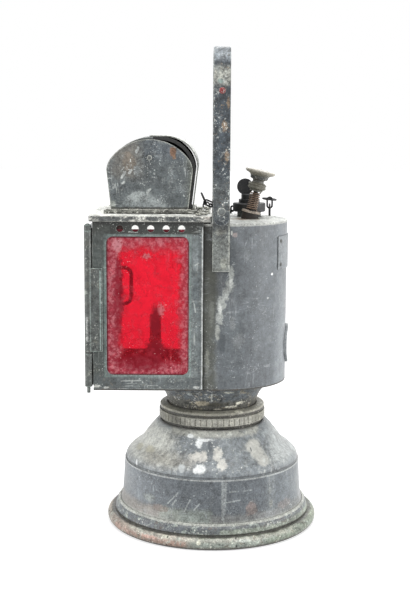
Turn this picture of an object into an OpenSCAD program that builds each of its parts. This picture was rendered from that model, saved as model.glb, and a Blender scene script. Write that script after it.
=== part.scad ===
// Railway hand lantern of the acetylene kind.
// The bell shaped carbide chamber is the foot. A knurled union nut joins it to
// the lamp: a glazed case, a round water tank behind it, a chimney and a handle.
// Origin: chamber axis, on the floor. +Z up, the case on the -X side.

/* [Foot and chamber] */
// Outer diameter of the foot rim
foot_d = 160; // [132:1:200]
// Diameter of the rolled foot rim
bead_d = 9.5; // [6:0.5:12]
// Height of the foot ring
foot_ring_h = 17.2; // [15:0.1:22]
// Height of the seam between drum and shoulder
seam_z = 48.5; // [40:0.5:60]
// Height of the chamber at its mouth
chamber_h = 78; // [70:1:95]
// Thickness of the chamber sheet
chamber_sheet = 0.9; // [0.6:0.1:1.4]
// Outer diameter of the carbide pot
pot_d = 64; // [50:1:66]
// Height of the carbide pot
pot_h = 48; // [38:1:50]

/* [Union] */
// Outer diameter of the threaded collar
collar_d = 76; // [72:1:90]
// Thickness of the collar wall
collar_wall = 3.4; // [2.5:0.1:4]
// Height of the collar above the chamber
collar_rise = 8; // [6:0.5:12]
// Outer diameter of the knurled nut over the collar diameter
nut_over = 4.6; // [4:0.1:8]
// Height of the knurled band
knurl_h = 6.3; // [5:0.1:10]
// Number of grooves in the knurl
knurl_count = 60; // [36:1:90]
// Height of the flared neck
neck_h = 23.7; // [20:0.1:34]

/* [Case] */
// Width of the case across its two glass sides
case_w = 101; // [92:1:122]
// Length of the case from the door side to the tank
case_l = 78.7; // [70:0.1:95]
// Height of the case walls
case_h = 124.2; // [115:0.1:150]
// Thickness of the case sheet
case_sheet = 0.8; // [0.6:0.1:1.2]
// X of the rear face of the case
case_rear_x = -7.3; // [-12:0.1:-4]
// Width of each side window
window_w = 58.9; // [50:0.1:60]
// Height of each side window
window_h = 100.2; // [85:0.1:101]
// Height of the window sill over the case floor
sill_h = 10.4; // [8:0.1:12]
// Corner radius of the windows
window_r = 5; // [3:0.5:9]
// Diameter of a vent hole
vent_d = 4.9; // [4:0.1:6]
// Distance between vent holes
vent_pitch = 10.98; // [9:0.01:12]
// Number of vent holes on each side
vent_count = 5; // [3:1:5]
// Thickness of a glass pane
glass_t = 1.8; // [1.5:0.1:3]

/* [Door] */
// Thickness of the door
door_t = 4.5; // [3.5:0.1:5]
// Outer diameter of the hinge knuckles
knuckle_d = 5.3; // [5:0.1:6]
// Diameter of the hinge pin
hinge_pin_d = 2.5; // [2:0.1:3]
// Diameter of the wire of the pull ring
pull_wire_d = 3; // [2.5:0.1:3.5]
// Height of the pull ring
pull_h = 32.2; // [26:0.1:38]
// Reach of the pull ring
pull_reach = 12.7; // [11:0.1:16]

/* [Tank] */
// Diameter of the water tank
tank_d = 100; // [84:1:122]
// X of the tank axis
tank_x = 5.3; // [2:0.1:8]
// Height of the tank
tank_h = 120.7; // [112:0.1:145]
// Thickness of the tank sheet
tank_sheet = 0.9; // [0.6:0.1:1.4]

/* [Roof and chimney] */
// Height of the turned down edge of the roof
roof_edge_h = 4; // [3:0.1:6]
// Overhang of the roof past the glass sides
roof_overhang = 1.6; // [1.2:0.1:1.9]
// Overhang of the roof past the door side
roof_front = 2.8; // [2:0.1:8]
// Half width of the chimney at its foot
chimney_foot = 28; // [24:0.5:29]
// Height of the chimney plates above their seat
chimney_h = 50.8; // [44:0.1:60]
// Depth of the chimney over its two end plates
chimney_depth = 58.8; // [48:0.1:66]

/* [Handle] */
// Width of the handle strap
strap_w = 11.8; // [10:0.1:14]
// Thickness of the handle strap
strap_t = 2.4; // [2:0.1:3]
// Height of the handle above its pivots
handle_rise = 115; // [98:1:140]
// Height of the pivots above the tank
pivot_rise = 9.2; // [8:0.1:12]
// Outer radius of the handle corners
handle_corner = 18; // [12:1:30]
// Thickness of the side brackets
bracket_t = 2.2; // [1.8:0.1:3]
// Length of the side brackets below the pivots
bracket_drop = 42.9; // [30:0.1:60]

/* [Valve and filler] */
// X of the water valve on the tank top
valve_x = 27; // [20:0.5:30]
// Diameter of the valve stem
stem_d = 3.5; // [3:0.1:4]
// Diameter of the valve knob
knob_d = 22.4; // [18:0.1:26]
// Diameter of the spring wire
spring_wire = 0.9; // [0.8:0.05:0.95]
// Mean diameter of the spring
spring_d = 7.6; // [7:0.1:8.6]
// Free length of the spring
spring_h = 15; // [14:0.1:18]
// Number of whole turns of the spring
spring_turns = 9; // [6:1:9]
// Diameter of the filler cap
cap_d = 24.8; // [22:0.1:27]
// X of the filler cap
cap_x = 27.4; // [24:0.1:30]
// Y of the filler cap
cap_y = 20.5; // [20:0.1:23]
// Wire diameter of the chain links
link_wire = 1.4; // [1.2:0.1:1.5]

/* [Hidden] */
$fn = 64;

// Play of a turning fit on the radius
fit = 0.05;
// Gap that keeps separate pieces apart
gap = 0.3;
// Small overlap that makes cuts run through
cut = 1;

foot_r = foot_d / 2;
bead_r = bead_d / 2;
// The bead is cut flat where it stands
bead_z = bead_r - 0.25;
bead_c = foot_r - bead_r;
drum_foot_r = foot_r - 6.8;
drum_foot_z = bead_d + 0.5;
drum_top_r = drum_foot_r - 6.6;
lap_h = 3.5;
floor_t = 1;
shoulder_r = drum_top_r - chamber_sheet - fit;
collar_r = collar_d / 2;
collar_bore_r = collar_r - collar_wall;
collar_top = chamber_h + collar_rise;
mouth_r = collar_r + chamber_sheet + fit;
pot_r = pot_d / 2;

gasket_t = 0.9;
neck_bottom = collar_top + gasket_t;
neck_flange_t = 1.3;
neck_sheet = 1;
neck_r = collar_r - 4.6;
neck_lip_r = neck_r - 3.4;
base_z = neck_bottom + neck_h;
base_t = 1;
floor_top = base_z + base_t;
nut_r = collar_r + nut_over / 2;
nut_bottom = chamber_h + 1.2;
nut_bore_r = collar_r + gap;
nut_lip_z = neck_bottom + neck_flange_t + 0.2;
knurl_z = nut_bottom + 1.4;
nut_top = max(nut_lip_z + 3.2, knurl_z + knurl_h + 4.7);
filter_h = 6;

case_half = case_w / 2;
case_front_x = case_rear_x - case_l;
case_top = floor_top + case_h;
case_mid_x = (case_front_x + case_rear_x) / 2;
inner_half = case_half - case_sheet;
sill_z = base_z + sill_h + 1;
window_x = case_mid_x - 0.2;
vent_z = sill_z + window_h + 5.6;
vent_x = window_x + 2.2;
pane_lap = 2.6;
pane_w = window_w + 2 * pane_lap;
pane_bottom = sill_z - 4;
pane_top = sill_z + window_h + 5;
channel_wall = 1;

tank_r = tank_d / 2;
tank_bottom = floor_top;
tank_top_z = base_z + tank_h;
tank_front_x = case_rear_x;
plate_t = 1;

roof_z = case_top;
roof_t = 1;
roof_top = roof_z + roof_t;
roof_half = case_half + roof_overhang;
roof_left_x = case_front_x - roof_front;
strap_left_x = tank_x - strap_w / 2;
roof_right_x = strap_left_x - 0.8;
chimney_x = case_mid_x + 0.2;
seat_h = 2.7;
seat_top = roof_top + seat_h;
flue_half_w = 24;
flue_half_d = 22;

bracket_in = tank_r + fit;
bracket_out = bracket_in + bracket_t;
leg_in = bracket_out + 0.2;
leg_out = leg_in + strap_t;
pivot_z = tank_top_z + pivot_rise;
pivot_r = 2;
handle_top = pivot_z + handle_rise;
tail_drop = 4.1;

hinge_x = case_front_x - 3.5;
hinge_y = -(case_half - 1);
knuckle_r = knuckle_d / 2;
pin_r = hinge_pin_d / 2;
leaf_t = 1;
door_front_x = case_front_x - door_t - 0.7;
door_back_x = case_front_x - 0.7;
door_near_y = hinge_y + knuckle_r + 0.4;
door_far_y = case_half + gap;
door_bottom = floor_top + 1.9;
door_top = roof_z - roof_edge_h - 4.3;
door_sheet = 0.8;
knuckle_split = floor_top + 25.7;
door_knuckle_bottom = floor_top + 1.7;
case_knuckle_top = door_top - 1.7;
door_knuckle_top = door_top + 2.6;
door_window_w = 62;
door_window_h = 88;
door_mid_y = (door_near_y + door_far_y) / 2;
door_mid_z = (door_bottom + door_top) / 2;

pull_r = pull_wire_d / 2;
pull_knuckle_r = pull_r + fit + 0.9;
pull_y = case_half + gap + pull_knuckle_r;
pull_x = window_x - window_w / 2 + 1.6;
pull_z = floor_top + 60.9;
tab_t = 0.8;

valve_lean = atan(valve_x / (tank_top_z - floor_top));
stem_r = stem_d / 2;
boss_h = 4.6;
gland_h = 1.4;
spring_s = boss_h + gland_h;
cup_s = spring_s + spring_h;
cup_h = 1.4;
collar_s = cup_s + cup_h + 0.2;
rings_h = 4.8;
knob_s = collar_s + rings_h;
knob_h = 10;
cap_r = cap_d / 2;
cap_bottom = tank_top_z + 3.9;
filler_r = 9;
filler_wall = 1.4;
filler_top = tank_top_z + 7.5;
cap_base_h = 6.6;

steel = [0.40, 0.43, 0.45];
dark_steel = [0.30, 0.32, 0.34];
pale_steel = [0.62, 0.63, 0.60];
olive = [0.45, 0.44, 0.37];
black = [0.10, 0.10, 0.11];
brass = [0.55, 0.46, 0.28];
rust = [0.50, 0.34, 0.22];
bright = [0.75, 0.75, 0.76];

// Points on a curve from a to c that leans towards b
function bend(a, b, c, n = 8) =
    [for (i = [0:n]) let (t = i / n) (1 - t) * (1 - t) * a + 2 * t * (1 - t) * b + t * t * c];

// The same points moved sideways by d, to the right of the way they run
function beside(pts, d) =
    [for (i = [0:len(pts) - 1])
        let (v = pts[min(i + 1, len(pts) - 1)] - pts[max(i - 1, 0)])
        pts[i] + d * [v[1], -v[0]] / norm(v)];

function backwards(pts) = [for (i = [len(pts) - 1:-1:0]) pts[i]];

function arc(centre, r, from, to, n = 10) =
    [for (i = [0:n]) let (a = from + (to - from) * i / n) centre + r * [cos(a), sin(a)]];

// A sheet of thickness t along the curve, turned about the Z axis
module turned_sheet(pts, t) {
    rotate_extrude() polygon(concat(pts, backwards(beside(pts, t))));
}

module ring(outer, inner, z, h) {
    translate([0, 0, z]) difference() {
        cylinder(r = outer, h = h);
        translate([0, 0, -cut]) cylinder(r = inner, h = h + 2 * cut);
    }
}

// A box from corner to corner
module block(low, high) {
    translate(low) cube(high - low);
}

// A rectangle with round corners about the origin
module round_window(w, h, r) {
    square([w - 2 * r, h], center = true);
    square([w, h - 2 * r], center = true);
    for (sx = [-1, 1], sy = [-1, 1])
        translate([sx * (w / 2 - r), sy * (h / 2 - r)]) circle(r = r);
}

// A cylinder that runs along Y from y0 to y1
module along_y(x, z, r, y0, y1) {
    translate([x, y1, z]) rotate([90, 0, 0]) cylinder(r = r, h = y1 - y0);
}

// A low dome on a flat face, its axis along +Z
module rivet_head(r, h) {
    ball_r = (r * r + h * h) / (2 * h);
    intersection() {
        translate([0, 0, h - ball_r]) sphere(r = ball_r);
        cylinder(r = r + 1, h = h + 1);
    }
}

module foot_ring() color(olive) {
    difference() {
        union() {
            rotate_extrude() translate([bead_c, bead_z]) circle(r = bead_r);
            rotate_extrude() polygon([
                [drum_foot_r + 0.05, bead_z + 3.5], [drum_foot_r + 0.85, bead_z + 3.5],
                [drum_foot_r + 0.85, drum_foot_z + 0.3], [drum_foot_r - 0.5, foot_ring_h - 2.4],
                [drum_foot_r - 0.9, foot_ring_h - 2], [drum_foot_r - 1.5, foot_ring_h - 1.2],
                [drum_foot_r - 1.9, foot_ring_h - 0.4], [drum_foot_r - 2.5, foot_ring_h],
                [drum_foot_r - 3.2, foot_ring_h], [drum_foot_r + 0.05, drum_foot_z]]);
        }
        rotate_extrude() translate([bead_c, bead_z]) circle(r = bead_r - 1.4);
        translate([0, 0, -2 * bead_r]) cylinder(r = foot_r + cut, h = 2 * bead_r);
    }
}

module foot_wire() color(dark_steel) {
    rotate_extrude() translate([bead_c, bead_z]) circle(r = bead_r - 1.4 - fit);
}

module chamber_drum() color(steel) {
    flare_z = foot_ring_h + 4.8;
    side = bend([drum_top_r, seam_z], [drum_top_r + 0.6, (seam_z + flare_z) / 2], [drum_top_r + 1.6, flare_z], 4);
    flare = bend([drum_top_r + 1.6, flare_z], [drum_top_r + 3, foot_ring_h - 0.8], [drum_foot_r, drum_foot_z]);
    turned_sheet(concat(side, [for (i = [1:len(flare) - 1]) flare[i]]), chamber_sheet);
}

// A share of the way out from the mouth and up from the seam
function shoulder_at(out, up) =
    [mouth_r + (shoulder_r - mouth_r) * out, seam_z + (chamber_h - seam_z) * up];

module chamber_shoulder() color(steel) {
    brow = [mouth_r + 3.6, chamber_h - 1.2];
    slope = bend(brow, shoulder_at(0.353, 0.75), shoulder_at(0.54, 0.498), 4);
    sweep = bend(shoulder_at(0.54, 0.498), shoulder_at(0.6, 0.43), shoulder_at(0.75, 0.34), 4);
    hip = bend(shoulder_at(0.75, 0.34), shoulder_at(1, 0.185), shoulder_at(1, 0.07), 6);
    curve = concat([[mouth_r, chamber_h], [mouth_r + 2.4, chamber_h - 0.3]], slope,
        [for (i = [1:len(sweep) - 1]) sweep[i]], [for (i = [1:len(hip) - 1]) hip[i]],
        [[shoulder_r, seam_z - lap_h]]);
    turned_sheet(curve, chamber_sheet);
}

module chamber_floor() color(dark_steel) {
    translate([0, 0, drum_foot_z]) cylinder(r = drum_foot_r - 1.7, h = floor_t);
}

module threaded_collar() color(olive) {
    difference() {
        union() {
            ring(collar_r, collar_bore_r, chamber_h - 4, collar_rise + 4);
            ring(collar_r + 0.2, collar_bore_r, chamber_h + 0.3, 0.7);
        }
        for (i = [0:2])
            ring(collar_r + cut, collar_r - 0.3, chamber_h + 2.2 + 1.7 * i, 0.7);
    }
}

module carbide_pot() color(pale_steel) {
    z0 = drum_foot_z + floor_t;
    difference() {
        translate([0, 0, z0]) cylinder(r = pot_r, h = pot_h);
        translate([0, 0, z0 + 0.8]) cylinder(r = pot_r - 0.8, h = pot_h);
        for (a = [0:45:315], z = [z0 + pot_h * 0.6, z0 + pot_h * 0.8])
            translate([0, 0, z]) rotate([0, 0, a]) translate([pot_r - 3, 0, 0])
                rotate([0, 90, 0]) cylinder(r = 2, h = 6);
    }
    translate([0, 0, z0 + pot_h]) rotate_extrude() translate([pot_r - 0.4, 0]) circle(r = 0.9);
}

module union_gasket() color(black) {
    ring(collar_r - 0.2, collar_bore_r, collar_top, gasket_t);
}

module union_nut() color(olive) {
    difference() {
        rotate_extrude() polygon([
            [nut_bore_r, nut_bottom], [nut_r - 1.4, nut_bottom], [nut_r - 1.4, knurl_z],
            [nut_r - 0.3, knurl_z], [nut_r, knurl_z + 0.3], [nut_r, knurl_z + knurl_h - 0.3],
            [nut_r - 0.3, knurl_z + knurl_h], [nut_r - 1.2, knurl_z + knurl_h],
            [nut_r - 1.2, nut_top - 2.7], [nut_r - 0.6, nut_top - 2.4], [nut_r - 0.6, nut_top - 1.3],
            [nut_r - 1.1, nut_top - 0.8], [neck_r + 3, nut_top],
            [neck_r + 0.8, nut_top], [neck_r + 0.8, nut_lip_z], [nut_bore_r, nut_lip_z]]);
        for (i = [0:knurl_count - 1])
            rotate([0, 0, i * 360 / knurl_count]) translate([nut_r, 0, knurl_z + knurl_h / 2])
                rotate([0, 0, 45]) cube([0.9, 0.9, knurl_h - 1.6], center = true);
    }
}

module neck_funnel() color(steel) {
    z1 = neck_bottom + neck_flange_t;
    z2 = base_z - 0.8;
    outer = bend([neck_r, z1 + 1.8], [neck_r + 0.6, z1 + 13.6], [neck_r + 12.6, z2]);
    inner = backwards(beside(outer, -neck_sheet));
    rotate_extrude() polygon(concat(
        [[neck_lip_r, neck_bottom], [collar_r - 0.2, neck_bottom], [collar_r - 0.2, z1], [neck_r, z1]],
        outer, [[neck_r + 15, z2], [neck_r + 15, base_z], [neck_r + 11.6, base_z]],
        inner, [[neck_r - neck_sheet, z1], [neck_lip_r, z1]]));
}

module gas_filter() color(pale_steel) {
    ring(neck_r - neck_sheet - 0.1, 3 + gap, neck_bottom + neck_flange_t, filter_h);
}

gas_hole_x = -22;
gas_r = 4;
drip_r = 1.3;

module tank_outline(r, front) {
    intersection() {
        circle(r = r);
        translate([front - tank_x, -r - cut]) square([3 * r, 2 * r + 2 * cut]);
    }
}

module body_floor() color(dark_steel) {
    difference() {
        union() {
            block([case_front_x, -case_half, base_z], [case_rear_x, case_half, floor_top]);
            translate([tank_x, 0, base_z]) linear_extrude(base_t) tank_outline(tank_r, case_rear_x - cut);
        }
        translate([gas_hole_x, 0, base_z - cut]) cylinder(r = gas_r, h = base_t + 2 * cut);
        translate([0, 0, base_z - cut]) cylinder(r = drip_r, h = base_t + 2 * cut);
    }
}

module along_valve() {
    translate([valve_x, 0, tank_top_z]) rotate([0, valve_lean, 0]) children();
}

seat_rise = 7;
stem_drop = (tank_top_z - floor_top - 4) / cos(valve_lean);

module drip_seat() color(brass) {
    difference() {
        translate([0, 0, floor_top]) cylinder(r = 5, h = seat_rise);
        along_valve() translate([0, 0, -stem_drop - 0.6]) cylinder(r = stem_r + fit, h = 30);
        translate([0, 0, floor_top - cut]) cylinder(r = drip_r, h = 5);
    }
}

module drip_tube() color(brass) {
    ring(3, drip_r, drum_foot_z + floor_t + pot_h + 4,
        base_z - drum_foot_z - floor_t - pot_h - 4);
}

burner_x = case_mid_x + 3.2;
gas_z = floor_top + gas_r + 0.2;

module gas_pipe() color(brass) {
    bore = gas_r - 0.9;
    difference() {
        union() {
            translate([gas_hole_x, 0, base_z - 5]) cylinder(r = gas_r, h = gas_z - base_z + 5);
            translate([gas_hole_x, 0, gas_z]) sphere(r = gas_r);
            translate([burner_x + 7.4, 0, gas_z]) rotate([0, 90, 0])
                cylinder(r = gas_r, h = gas_hole_x - burner_x - 7.4);
        }
        translate([gas_hole_x, 0, base_z - 6]) cylinder(r = bore, h = gas_z - base_z + 6);
        translate([gas_hole_x, 0, gas_z]) sphere(r = bore);
        translate([burner_x, 0, gas_z]) rotate([0, 90, 0]) cylinder(r = bore, h = gas_hole_x - burner_x);
    }
}

module burner_socket() color(brass) {
    h = 23.4;
    difference() {
        union() {
            translate([burner_x, 0, floor_top]) cylinder(r = 7.4, h = h - 6);
            translate([burner_x, 0, floor_top + h - 6]) cylinder(r1 = 7.4, r2 = 5.2, h = 6);
        }
        translate([burner_x, 0, gas_z]) rotate([0, 90, 0]) cylinder(r = gas_r - 0.9, h = 20);
        translate([burner_x, 0, gas_z - 1]) cylinder(r = 2, h = h);
    }
}

module burner_tube() color(brass) {
    translate([burner_x, 0, floor_top + 23.4]) difference() {
        union() {
            cylinder(r = 4.2, h = 19);
            translate([0, 0, 2]) cylinder(r = 4.7, h = 2.4);
        }
        translate([0, 0, -cut]) cylinder(r = 2, h = 19 + 2 * cut);
    }
}

module burner_tip() color([0.85, 0.83, 0.76]) {
    translate([burner_x, 0, floor_top + 42.4]) difference() {
        union() {
            cylinder(r = 4.2, h = 3.5);
            for (s = [-1, 1]) translate([0, s * 2.9, 3]) rotate([-s * 20, 0, 0]) cylinder(r = 1.3, h = 5.4);
        }
        translate([0, 0, -cut]) cylinder(r = 1, h = 3);
    }
}

module window_cut(y, depth) {
    translate([window_x, y, sill_z + window_h / 2]) rotate([90, 0, 0])
        linear_extrude(depth, center = true) round_window(window_w, window_h, window_r);
    for (i = [0:vent_count - 1])
        along_y(vent_x + (i - (vent_count - 1) / 2) * vent_pitch, vent_z, vent_d / 2,
            y - depth / 2, y + depth / 2);
}

module case_shell() color(steel) {
    s = case_sheet;
    difference() {
        block([case_front_x, -case_half, floor_top], [case_rear_x, case_half, case_top]);
        block([case_front_x + s, -inner_half, floor_top - cut],
            [case_rear_x + cut, inner_half, case_top + cut]);
        window_cut(-case_half, 4);
        window_cut(case_half, 4);
        translate([case_front_x, door_mid_y, door_mid_z]) rotate([90, 0, 90])
            linear_extrude(4, center = true) round_window(door_window_w + 14, door_window_h + 14, 5);
    }
}

module case_rear_wall() color(dark_steel) {
    block([case_rear_x - plate_t, -inner_half, floor_top], [case_rear_x, inner_half, case_top]);
}

module reflector() color(bright) {
    r = 120;
    half = 15;
    sheet = 0.6;
    translate([case_rear_x - plate_t - r, 0, floor_top + 8])
        rotate([0, 0, -half]) rotate_extrude(angle = 2 * half)
            translate([r - sheet, 0]) square([sheet, window_h]);
}

module pane(y0, y1) {
    block([window_x - pane_w / 2, y0, pane_bottom], [window_x + pane_w / 2, y1, pane_top]);
}

// Rebate that holds a pane at both sides and below, open at the top
module channel() {
    y0 = -inner_half;
    y1 = y0 + glass_t + 1.2;
    difference() {
        block([window_x - pane_w / 2 - channel_wall - 0.1, y0, pane_bottom - channel_wall - 0.1],
            [window_x + pane_w / 2 + channel_wall + 0.1, y1, pane_top]);
        block([window_x - pane_w / 2 - 0.1, y0 - cut, pane_bottom - 0.1],
            [window_x + pane_w / 2 + 0.1, y0 + glass_t + 0.2, pane_top + cut]);
        block([window_x - window_w / 2, y0 - cut, sill_z],
            [window_x + window_w / 2, y1 + cut, pane_top + cut]);
    }
}

module near_glass() color([0.85, 0.05, 0.10, 0.6]) {
    pane(-inner_half + 0.1, -inner_half + 0.1 + glass_t);
}

module near_glass_channel() color(dark_steel) {
    channel();
}

module far_glass() color([0.85, 0.9, 0.88, 0.3]) {
    pane(inner_half - 0.1 - glass_t, inner_half - 0.1);
}

module far_glass_channel() color(dark_steel) {
    mirror([0, 1, 0]) channel();
}

module roof_plate() color(pale_steel) {
    mid_x = (roof_left_x + roof_right_x) / 2;
    l = roof_right_x - roof_left_x;
    w = 2 * roof_half;
    difference() {
        translate([mid_x, 0, roof_z - roof_edge_h + roof_t]) linear_extrude(roof_edge_h)
            round_window(l, w, 2.5);
        translate([mid_x, 0, roof_z - roof_edge_h]) linear_extrude(roof_edge_h)
            round_window(l - 2, w - 2, 1.5);
        block([chimney_x - flue_half_w, -flue_half_d, roof_z - cut],
            [chimney_x + flue_half_w, flue_half_d, roof_top + cut]);
    }
}

// The horseshoe outline of the chimney, X to the right and Y up from the seat.
// shift moves the crown, corner and corner_c shape its right shoulder.
crown_r = 35.5;
crown_z = chimney_h - crown_r;
foot_spread = chimney_foot / 28;

function horseshoe(r, shift, corner, corner_c, left_in, right_out) = concat(
    [[-(chimney_foot - left_in), 0]],
    arc([shift[0], crown_z + shift[1]], r, 153, 90),
    arc([corner_c[0], crown_z + corner_c[1]], corner, 90, 5),
    [[chimney_foot + right_out, 0]]);

plate_corner = 14;
plate_corner_at = 37.3;
plate_crown = crown_r * foot_spread;
plate_corner_x = (plate_crown - plate_corner) * cos(plate_corner_at);
plate_corner_z = crown_z + (plate_crown - plate_corner) * sin(plate_corner_at);

// The end plates: a wide crown with a round corner on each side of it
function plate_outline() = concat(
    [[-chimney_foot, 0]],
    arc([-plate_corner_x, plate_corner_z], plate_corner, 186, 180 - plate_corner_at, 8),
    arc([0, crown_z], plate_crown, 177 - plate_corner_at, 3 + plate_corner_at, 16),
    arc([plate_corner_x, plate_corner_z], plate_corner, plate_corner_at, -6, 8),
    [[chimney_foot, 0]]);

flue_shift = [2.2, 2];
flue_r = 35.2;
flue_corner = 25.5;
flue_corner_c = [8, 11.7];
cover_corner = 24;
cover_corner_c = [11.5, 14.2];
cover_t = 1;
half_depth = chimney_depth / 2;
end_t = 1.2;

// Lays an outline in the XZ plane on the seat and gives it a depth along Y
module upright(y0, y1) {
    translate([chimney_x, y1, seat_top]) rotate([90, 0, 0]) linear_extrude(y1 - y0) children();
}

module chimney_seat() color(pale_steel) {
    difference() {
        block([chimney_x - chimney_foot - 5, -half_depth - 2, roof_top],
            [chimney_x + chimney_foot + 5.5, half_depth + 2, seat_top]);
        block([chimney_x - flue_half_w, -flue_half_d, roof_top - cut],
            [chimney_x + flue_half_w, flue_half_d, seat_top + cut]);
    }
}

module chimney_near_plate() color(steel) {
    difference() {
        upright(-half_depth, -half_depth + end_t) polygon(plate_outline());
        along_y(chimney_x, seat_top + 37.5, 1, -half_depth - cut, 0);
    }
}

module chimney_far_plate() color(steel) {
    difference() {
        upright(half_depth - end_t, half_depth) polygon(plate_outline());
        along_y(chimney_x, seat_top + 37.5, 1, 0, half_depth + cut);
    }
}

module flue_outline(inset) {
    polygon(horseshoe(flue_r - inset, flue_shift, flue_corner - inset, flue_corner_c,
        0.8 + inset, 2 - inset));
}

module flue_ring(thick, y0, y1) {
    difference() {
        upright(y0, y1) flue_outline(0);
        upright(y0 - cut, y1 + cut) translate([0, -0.01]) flue_outline(thick);
    }
}

module chimney_flue() color(dark_steel) {
    end = half_depth - end_t - gap;
    difference() {
        union() {
            flue_ring(0.9, -end, end);
            flue_ring(2.4, -end, -end + 1.6);
            flue_ring(2.4, end - 1.6, end);
        }
        translate([chimney_x, 0, seat_top + crown_z]) rotate([0, 40, 0])
            block([-9, -18, 30], [9, 18, 50]);
    }
}

module chimney_cover() color(steel) {
    flat = crown_z + cover_corner_c[1] + cover_corner;
    outer = concat([[0, flat]], arc(cover_corner_c + [0, crown_z], cover_corner, 90, 5),
        [[chimney_foot + 3.7, 0]]);
    inner = concat([[0, flat - cover_t]],
        arc(cover_corner_c + [0, crown_z], cover_corner - cover_t, 90, 5),
        [[chimney_foot + 3.7 - cover_t, 0]]);
    upright(-half_depth + end_t + 2, half_depth - end_t - 2) polygon(concat(outer, backwards(inner)));
}

module chimney_rivets() color(dark_steel) {
    for (s = [-1, 1]) {
        translate([chimney_x, s * half_depth, seat_top + 37.5]) rotate([-s * 90, 0, 0]) rivet_head(1.9, 0.9);
        translate([chimney_x, s * (half_depth - end_t - 0.8), seat_top + 37.5]) rotate([-s * 90, 0, 0])
            cylinder(r = 1, h = end_t + 0.8);
    }
}

leaf_top = floor_top + 88;
leaf_bottom = floor_top + 27.4;
leaf_w = 6.9;

module hinge_leaf() color(steel) {
    difference() {
        union() {
            translate([hinge_x, hinge_y, knuckle_split]) cylinder(r = knuckle_r, h = case_knuckle_top - knuckle_split);
            block([hinge_x, -case_half - leaf_t, leaf_bottom], [case_front_x + leaf_w, -case_half, leaf_top]);
        }
        translate([hinge_x, hinge_y, knuckle_split - cut]) cylinder(r = pin_r, h = case_knuckle_top);
    }
}

module hinge_pin() color(dark_steel) {
    translate([hinge_x, hinge_y, floor_top - 3]) cylinder(r = pin_r, h = door_knuckle_top + 0.2 - floor_top + 3);
    translate([hinge_x, hinge_y, door_knuckle_top + 0.1]) rivet_head(2.2, 1.1);
}

module door_frame() color(steel) {
    s = door_sheet;
    difference() {
        block([door_front_x, door_near_y, door_bottom], [door_back_x, door_far_y, door_top]);
        block([door_front_x + s, door_near_y + s, door_bottom + s],
            [door_back_x + cut, door_far_y - s, door_top - s]);
        translate([door_front_x, door_mid_y, door_mid_z]) rotate([90, 0, 90])
            linear_extrude(4, center = true) round_window(door_window_w, door_window_h, 6);
    }
}

module door_glass() color([0.85, 0.9, 0.88, 0.3]) {
    x0 = door_front_x + door_sheet + 0.1;
    block([x0, door_mid_y - door_window_w / 2 - 4, door_mid_z - door_window_h / 2 - 4],
        [x0 + glass_t, door_mid_y + door_window_w / 2 + 4, door_mid_z + door_window_h / 2 + 4]);
}

module door_glass_clips() color(dark_steel) {
    x0 = door_front_x + door_sheet;
    x1 = x0 + glass_t + 0.2;
    edge = door_window_w / 2 + 4.2;
    for (s = [-1, 1], z = [-30, 30]) {
        y = door_mid_y + s * edge;
        translate([0, 0, door_mid_z + z - 4]) {
            block([x0, min(y, y + s * 5), 0], [x0 + 0.6, max(y, y + s * 5), 8]);
            block([x0, min(y, y + s * 0.6), 0], [x1 + 0.6, max(y, y + s * 0.6), 8]);
            block([x1, min(y, y - s * 3), 0], [x1 + 0.6, max(y, y - s * 3), 8]);
        }
    }
}

// Two knuckles on the door, one at each end of the pin, with straps on its face
module door_hinge_straps() color(steel) {
    t = 0.8;
    for (z = [[door_knuckle_bottom, knuckle_split - 0.2], [case_knuckle_top + 0.2, door_knuckle_top]]) {
        difference() {
            union() {
                translate([hinge_x, hinge_y, z[0]]) cylinder(r = knuckle_r, h = z[1] - z[0]);
                block([door_front_x - t, hinge_y, z[0]], [door_front_x, door_near_y + 9, min(z[1], door_top)]);
                block([door_front_x - t, hinge_y, z[0]], [door_front_x + 0.6, hinge_y + 1, z[1]]);
            }
            translate([hinge_x, hinge_y, z[0] - cut]) cylinder(r = pin_r + fit, h = z[1] - z[0] + 2 * cut);
        }
    }
}

module pull_tab() color(dark_steel) {
    z0 = pull_z - 6.5;
    difference() {
        union() {
            block([door_front_x + 0.6, door_far_y, z0], [pull_x, door_far_y + tab_t, z0 + 13]);
            translate([pull_x, pull_y, z0]) cylinder(r = pull_knuckle_r, h = 13);
        }
        translate([pull_x, pull_y, z0 - cut]) cylinder(r = pull_r + fit, h = 13 + 2 * cut);
    }
}

// A D of round wire whose straight side turns in the tab
module pull_ring() color(dark_steel) {
    half = pull_h / 2 - pull_r;
    reach = pull_reach - pull_wire_d;
    bow = reach * 0.62;
    translate([pull_x, pull_y, pull_z]) {
        translate([0, 0, -half]) cylinder(r = pull_r, h = 2 * half);
        translate([reach, 0, -half + bow]) cylinder(r = pull_r, h = 2 * (half - bow));
        for (s = [-1, 1]) {
            translate([0, 0, s * half]) sphere(r = pull_r);
            translate([0, 0, s * half]) rotate([0, 90, 0]) cylinder(r = pull_r, h = reach - bow);
            translate([reach - bow, 0, s * (half - bow)]) rotate([90, 0, 0])
                rotate([0, 0, s > 0 ? 0 : -90]) rotate_extrude(angle = 90) translate([bow, 0]) circle(r = pull_r);
        }
    }
}

module tank_shell() color(steel) {
    h = tank_top_z - plate_t - tank_bottom;
    translate([tank_x, 0, tank_bottom]) linear_extrude(h) difference() {
        tank_outline(tank_r, tank_front_x);
        tank_outline(tank_r - tank_sheet, tank_front_x + plate_t);
    }
}

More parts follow.
